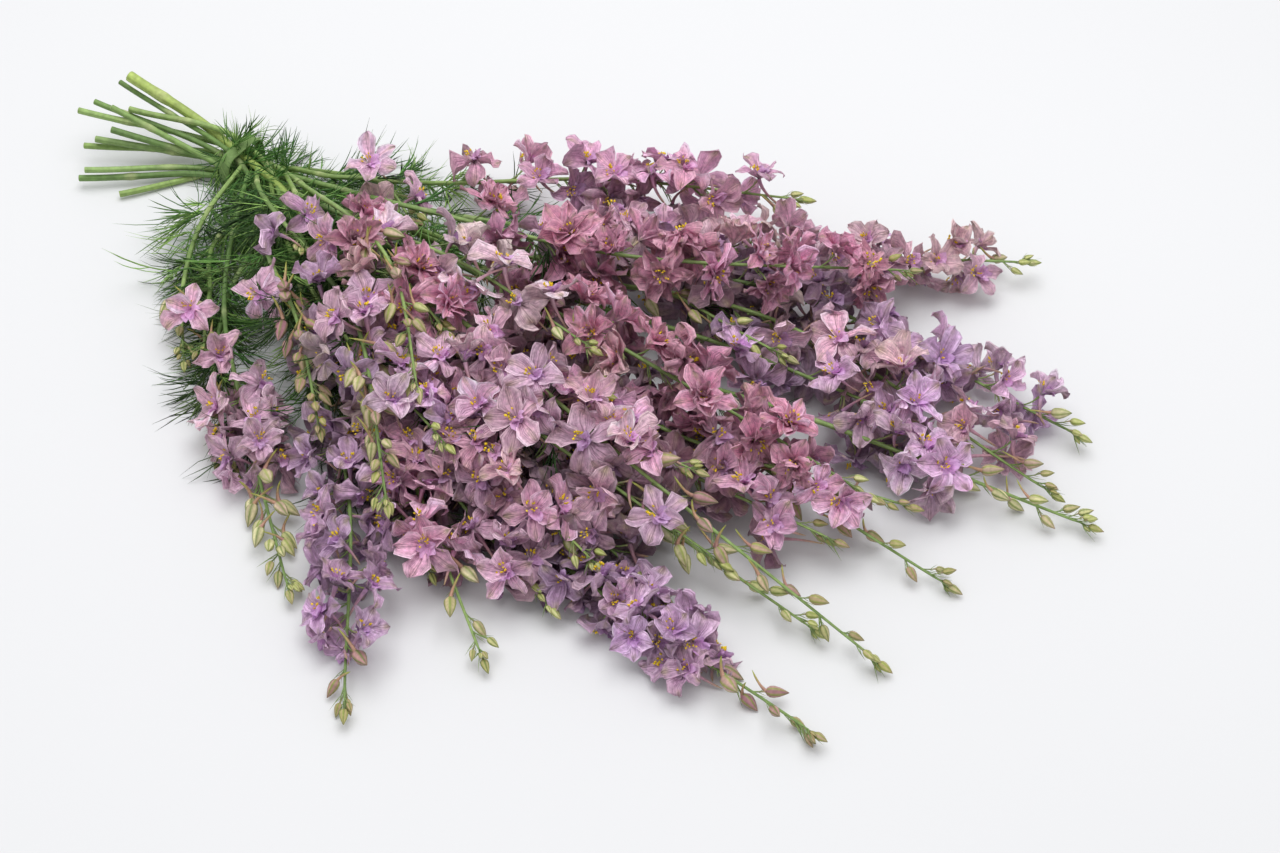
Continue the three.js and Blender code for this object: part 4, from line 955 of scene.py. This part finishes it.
# Gives inputs their values, or joins them to the sockets given.
def setInputs(tree, node, inputs):
    for name, value in inputs.items():
        if isinstance(value, bpy.types.NodeSocket):
            tree.links.new(value, node.inputs[name])
        else:
            node.inputs[name].default_value = value


def addNode(tree, kind, inputs, **settings):
    node = tree.nodes.new("ShaderNode" + kind)
    for name, value in settings.items():
        setattr(node, name, value)
    setInputs(tree, node, inputs)
    return node


def addMath(tree, operation, first, second):
    return addNode(tree, "Math", {0: first, 1: second}, operation=operation).outputs[0]


# A group for more than one material, which changes a colour and puts out a height.
def newGroup(name, inputs):
    group = bpy.data.node_groups.new(name, "ShaderNodeTree")
    for socketName, value in inputs.items():
        kind = "NodeSocketFloat" if isinstance(value, float) else "NodeSocketColor"
        group.interface.new_socket(name=socketName, socket_type=kind, in_out="INPUT").default_value = value
    group.interface.new_socket(name="colour", socket_type="NodeSocketColor", in_out="OUTPUT")
    group.interface.new_socket(name="height", socket_type="NodeSocketFloat", in_out="OUTPUT")
    return group, group.nodes.new("NodeGroupInput").outputs, group.nodes.new("NodeGroupOutput")


# Blotches of light and shade over the surface.
def makeMottleGroup():
    group, given, result = newGroup("mottle", {"colour": (0.5, 0.5, 0.5, 1), "scale": 300.0, "strength": 0.2})
    place = addNode(group, "TexCoord", {}).outputs["Object"]
    noise = addNode(group, "TexNoise", {"Vector": place, "Scale": given["scale"], "Detail": 3})
    shade = addNode(group, "MapRange", {
        "Value": noise.outputs["Fac"],
        "From Min": 0.3,
        "From Max": 0.7,
        "To Min": addMath(group, "SUBTRACT", 1, given["strength"]),
        "To Max": addMath(group, "ADD", 1, given["strength"]),
    })
    scaled = addNode(group, "VectorMath", {0: given["colour"], "Scale": shade.outputs["Result"]},
                     operation="SCALE")
    setInputs(group, result, {"colour": scaled.outputs[0], "height": noise.outputs["Fac"]})
    return group


# Fine lines that run from the claw of a petal to its edge, or along a stalk.
def makeVeinGroup():
    group, given, result = newGroup(
        "veins", {"colour": (0.5, 0.5, 0.5, 1), "vein": (0.3, 0.2, 0.3, 1), "count": 12.0, "strength": 0.3})
    surface = addNode(group, "UVMap", {}, uv_map="UVMap").outputs["UV"]
    parts = addNode(group, "SeparateXYZ", {0: surface}).outputs
    place = addNode(group, "CombineXYZ", {"X": addMath(group, "MULTIPLY", parts["X"], given["count"]),
                                          "Y": addMath(group, "MULTIPLY", parts["Y"], 1.6)})
    noise = addNode(group, "TexNoise", {"Vector": place.outputs[0], "Scale": 1.0, "Detail": 2})
    band = addNode(group, "MapRange", {"Value": noise.outputs["Fac"], "From Min": 0.48, "From Max": 0.66})
    lines = addMath(group, "MULTIPLY", band.outputs["Result"], given["strength"])
    blend = addNode(group, "Mix", {}, data_type="RGBA")
    setInputs(group, blend, {"Factor": lines, "A": given["colour"], "B": given["vein"]})
    setInputs(group, result, {"colour": blend.outputs["Result"], "height": band.outputs["Result"]})
    return group


mottleGroup, veinGroup = makeMottleGroup(), makeVeinGroup()

# mottle: its scale and strength. veins: how many, their strength and their colour.
skins = {
    "sepalSkin": dict(roughness=0.42, mottle=(420, 0.24), bump=1.0, veins=(22, 0.5, srgb(148, 92, 130)),
                      translucent=0.14, sheen=0.1, specular=0.5),
    "petalSkin": dict(roughness=0.45, mottle=(500, 0.14), bump=0.5, veins=(9, 0.3, srgb(150, 96, 160)),
                      translucent=0.2, sheen=0.1),
    "greenSkin": dict(roughness=0.48, mottle=(260, 0.2), bump=0.35, veins=(9, 0.22, srgb(60, 84, 38))),
    "budSkin": dict(roughness=0.45, mottle=(500, 0.14), bump=0.4, veins=(16, 0.14, srgb(96, 92, 60)),
                    translucent=0.1),
    "pollenSkin": dict(roughness=0.7, mottle=(1500, 0.3), bump=0.5),
    "leafSkin": dict(roughness=0.5, mottle=(200, 0.25), bump=0.2, translucent=0.12),
    "pithSkin": dict(roughness=0.75, mottle=(1200, 0.2), bump=0.4),
    "tieSkin": dict(roughness=0.62, mottle=(500, 0.12), bump=0.25),
}


def makeSkin(name, roughness, mottle, bump, veins=None, translucent=0.0, sheen=0.0, specular=0.35):
    material = bpy.data.materials.new(name)
    material.use_nodes = True
    tree = material.node_tree
    shader, output = tree.nodes["Principled BSDF"], tree.nodes["Material Output"]
    tint = addNode(tree, "Attribute", {}, attribute_name="tint")
    look = addNode(tree, "Group", {}, node_tree=mottleGroup)
    setInputs(tree, look, {"colour": tint.outputs["Color"], "scale": mottle[0], "strength": mottle[1]})
    if veins:
        lines = addNode(tree, "Group", {}, node_tree=veinGroup)
        count, strength, veinTint = veins
        setInputs(tree, lines, {"colour": look.outputs["colour"], "count": count, "strength": strength,
                                "vein": (*veinTint, 1)})
        look = lines
    colour = look.outputs["colour"]
    relief = addNode(tree, "Bump", {"Height": look.outputs["height"], "Strength": bump, "Distance": 0.0005})
    setInputs(tree, shader, {
        "Base Color": colour,
        "Roughness": roughness,
        "Specular IOR Level": specular,
        "Sheen Weight": sheen,
        "Normal": relief.outputs["Normal"],
    })
    if translucent:
        glow = addNode(tree, "BsdfTranslucent", {"Color": colour, "Normal": relief.outputs["Normal"]})
        both = addNode(tree, "MixShader", {
            "Fac": translucent, 1: shader.outputs["BSDF"], 2: glow.outputs["BSDF"]})
        tree.links.new(both.outputs["Shader"], output.inputs["Surface"])
    return material


materials = {name: makeSkin(name, **skin) for name, skin in skins.items()}
print("finishes made:", len(materials))

# More flowers stand between those of the solids, and lean more freely.
extras = {
    "share": 0.95,
    "places": (0.5,),       # from one flower to the next
    "densePlaces": (0.33, 0.7),
    "denseStems": (8, 9, 10, 20, 21, 33),
    "nearest": 225,         # to the tie
    "room": 16.0,
    "climb": 56,
    "stalk": 0.85,
    "size": 0.95,
    "tilt": 60,
}


def placeExtras(strand):
    opened = headsOf(strand, openHeads)
    found = []
    for k, (one, other) in enumerate(zip(opened, opened[1:] + opened[-1:])):
        places = extras["densePlaces"] if strand["order"] in extras["denseStems"] else extras["places"]
        for n, place in enumerate(places):
            key = 2000 + 2 * one["key"] + n
            if draw(key, 110) > extras["share"] - 1.2 * max(0, one["toTip"] - 0.5):
                continue
            share = mix(one["share"], max(other["share"], one["share"] + 0.02), place)
            turn = math.fmod((k + 0.5 + 0.3 * n) * layout["goldenAngle"] + 180 + 60 * sway(key, 1), 360)
            stalk = layout["pedicel"] * extras["stalk"] * (0.8 + 0.4 * draw(key, 111))
            extra = headOn(strand, key, True, one["toTip"], share, turn, extras["climb"], stalk)
            if math.hypot(extra["root"][0], extra["root"][1]) >= extras["nearest"]:
                found.append(extra)
    return found


# One more bud beside each bud of a short spike but the last.
def moreBuds(strand):
    if strand["reach"] > bud["extraReach"]:
        return []
    found = []
    for head in headsOf(strand, heads):
        if head["open"] or head["toTip"] > bud["extraUntil"]:
            continue
        key = 4000 + head["key"]
        share = head["share"] + 0.45 / (strand["buds"] + strand["open"])
        stalk = head["stalk"] * (0.7 + 0.4 * draw(key, 112))
        found.append(headOn(strand, key, False, min(1, head["toTip"] + 0.1), share, 150 + 60 * sway(key, 1),
                            bud["extraClimb"], stalk, head["middle"] - head["root"]))
    return found


# Small buds crowd the end of each spike. Each comes with its size.
def tipBuds(strand):
    lastShare = headsOf(strand, heads)[-2]["share"]
    found = []
    for k, (place, stalk, size) in enumerate(bud["tipCrowd"]):
        key = 6000 + 10 * strand["order"] + k
        turn = layout["goldenAngle"] * k + 360 * draw(key, 1)
        found.append((headOn(strand, key, False, 1, mix(lastShare, 1, place), turn, 38 + 12 * sway(key, 2),
                             stalk * (0.8 + 0.4 * draw(key, 3))), size))
    return found


extraHeads = [extra for strand in strands for extra in placeExtras(strand)]
spread(extraHeads, strands, extras["room"], openHeads)
flowerHeads = openHeads + extraHeads
# How much painted shade each flower takes from those lying over it.
for head, hidden in zip(flowerHeads, coverOf(np.array([head["middle"] for head in flowerHeads]))):
    head["cover"] = hidden
print("more flowers between:", len(extraHeads))

for strand in strands:
    growth = newGrowth()
    addRachis(growth, strand)
    for head in headsOf(strand, heads):
        (addFlower if head["open"] else addBud)(growth, head)
    for head in headsOf(strand, extraHeads):
        addFlower(growth, head, extras["size"], extras["tilt"])
    for head in moreBuds(strand):
        addBud(growth, head)
    for head, size in tipBuds(strand):
        addBud(growth, head, size)
    name = f"spray_{strand['order'] + 1:02d}"
    buildPiece("fine_" + name, growth, name)
print("flower spikes made")

stemGrowths = [newGrowth() for _ in mainStems]
for strand in strands:
    addStem(stemGrowths[strand["family"]], strand)


# How far along its line the part of the way between two distances from the tie is.
def shareFromTie(line, nearest, furthest, part):
    fromTie = np.linalg.norm(line, axis=1) * np.where(line[:, 0] < 0, -1, 1)
    return np.interp(mix(nearest, min(furthest, fromTie[-1]), part), fromTie, np.linspace(0, 1, len(line)))


def anyOf(kin, key):
    return kin[int(draw(key, 122) * len(kin))]


for k in range(leaf["solidCount"]):
    strand, key = strands[k % len(strands)], 5000 + k
    addLeaf(stemGrowths[strand["family"]], strand["bareLine"], mix(0.38, 0.88, draw(key, 0)), key,
            0.85 * leaf["reach"] * (0.75 + 0.5 * draw(key, 1)))
for k in range(leaf["count"]):
    key = 7000 + k
    family = int(np.searchsorted(leafShares, draw(key, 120)))
    line = anyOf([strand for strand in strands if strand["family"] == family], key)["bareLine"]
    share = shareFromTie(line, leaf["nearest"], leaf["within"], draw(key, 121))
    addLeaf(stemGrowths[family], line, share, key, leaf["reach"] * (0.6 + 0.6 * draw(key, 123)), low=True)
for k in range(leaf["tieCount"]):
    key = 8000 + k
    strand = anyOf(strands[:len(mainStems)], key)
    share = shareFromTie(strand["bareLine"], *leaf["tieSpan"], draw(key, 121))
    addLeaf(stemGrowths[strand["family"]], strand["bareLine"], share, key,
            mix(*leaf["tieReach"], draw(key, 123)), leaf["tieShade"])
# Low leaves under the flowers, their tint darkened with painted shade where the flowers shade them.
for k in range(leaf["deepCount"]):
    key = 9000 + k
    strand = anyOf([strand for strand in strands if strand["family"] > leaf["lastStems"] or k % 2], key)
    share = mix(leaf["deepFrom"], leaf["deepUntil"][strand["family"] > leaf["lastStems"]], draw(key, 121))
    addLeaf(stemGrowths[strand["family"]], strand["points"][strand["start"]:], share, key,
            leaf["reach"] * (0.6 + 0.5 * draw(key, 123)), leaf["paintedDeepShade"], low=True)
for family, growth in enumerate(stemGrowths):
    name = f"stem_{family + 1:02d}"
    buildPiece("fine_" + name, growth, name)
print("stems and leaves made")

tie = {
    "width": 9,
    "wall": 1.3,
    "halfWidth": 19.5,
    "height": 29,
    "edge": 0.5,            # how round its edges are
    "squareness": 0.62,     # 1 makes it an ellipse
    "flat": 1.06,           # how much of its foot is cut flat
    "corners": 80,
}
tieTint = srgb(112, 140, 80)


def squarish(value):
    return np.sign(value) * np.abs(value) ** tie["squareness"]


# Across and up, round the band at a depth under its outside.
def bandOutline(inset):
    halfWidth, bottom, top = tie["halfWidth"] - inset, inset, tie["height"] - inset
    middle, half = (top + bottom) / 2, (top - bottom) / 2
    angles = 2 * math.pi * (np.arange(tie["corners"]) + 0.5) / tie["corners"]
    height = np.maximum(bottom, middle + half * tie["flat"] * squarish(np.sin(angles)))
    return np.stack([halfWidth * squarish(np.cos(angles)), np.minimum(top, height)], axis=1)


def makeTie():
    growth = newGrowth()
    outer, inner = bandOutline(0), bandOutline(tie["wall"])
    half, soft = tie["width"] / 2, tie["edge"] / tie["wall"]
    inward = half - tie["edge"]
    section = [(0, -inward), (0, 0), (0, inward), (soft, half), (1 - soft, half), (1, inward), (1, 0),
               (1, -inward), (1 - soft, -half), (soft, -half), (0, -inward)]
    rings = [(mix(outer, inner, depth), along) for depth, along in section]
    grid = np.array([np.column_stack([np.full(len(ring), along), ring]) for ring, along in rings])
    addGrids(growth, grid[None], tieTint, tieFinish, closed=True)
    buildPiece("fine_tie", growth, "tie")


makeTie()
print("tie made;", sum(triangleCounts), "triangles, at most", max(triangleCounts), "in a piece")

floorSheet = {
    "across": 9.0,
    "roughness": 0.85,
    "specular": 0.2,
    "mottle": 6,
    "dark": (0.705, 0.71, 0.725),
    "light": (0.732, 0.737, 0.752),
}


def makeFloor():
    half = floorSheet["across"] / 2
    mesh = bpy.data.meshes.new("floor")
    corners = [(-half, -half, 0), (half, -half, 0), (half, half, 0), (-half, half, 0)]
    mesh.from_pydata(corners, [], [(0, 1, 2, 3)])
    floor = bpy.data.objects.new("floor", mesh)
    bpy.context.scene.collection.objects.link(floor)
    material = bpy.data.materials.new("whitePaper")
    material.use_nodes = True
    tree = material.node_tree
    noise = addNode(tree, "TexNoise", {"Scale": floorSheet["mottle"]})
    ramp = addNode(tree, "ValToRGB", {"Fac": noise.outputs["Fac"]})
    for element, tint in zip(ramp.color_ramp.elements, (floorSheet["dark"], floorSheet["light"])):
        element.color = (*tint, 1)
    setInputs(tree, tree.nodes["Principled BSDF"], {
        "Base Color": ramp.outputs["Color"],
        "Roughness": floorSheet["roughness"],
        "Specular IOR Level": floorSheet["specular"],
    })
    mesh.materials.append(material)


makeFloor()

view = {"place": (0.8420, -0.8255, 0.9751), "aim": (0.3601, -0.0544, 0.0), "lens": 60, "sensor": 36}
lighting = {"sky": 0.69, "key": 30, "size": 1.8, "place": (0.16, 0.22, 1.9), "aim": (0.3, -0.05, 0)}


def placeAiming(name, data, place, aim):
    thing = bpy.data.objects.new(name, data)
    bpy.context.scene.collection.objects.link(thing)
    thing.location = place
    thing.rotation_euler = (Vector(aim) - thing.location).to_track_quat("-Z", "Y").to_euler()
    return thing


camera = placeAiming("camera", bpy.data.cameras.new("camera"), view["place"], view["aim"])
camera.data.lens = view["lens"]
camera.data.sensor_width = view["sensor"]
bpy.context.scene.camera = camera
bpy.context.scene.view_settings.view_transform = "Standard"

keyLight = placeAiming("key", bpy.data.lights.new("key", "AREA"), lighting["place"], lighting["aim"])
keyLight.data.energy = lighting["key"]
keyLight.data.size = lighting["size"]
world = bpy.data.worlds.new("studio")
world.use_nodes = True
sky = world.node_tree.nodes["Background"]
sky.inputs["Color"].default_value = (1, 1, 1, 1)
sky.inputs["Strength"].default_value = lighting["sky"]
bpy.context.scene.world = world
print("floor, camera and lights placed")
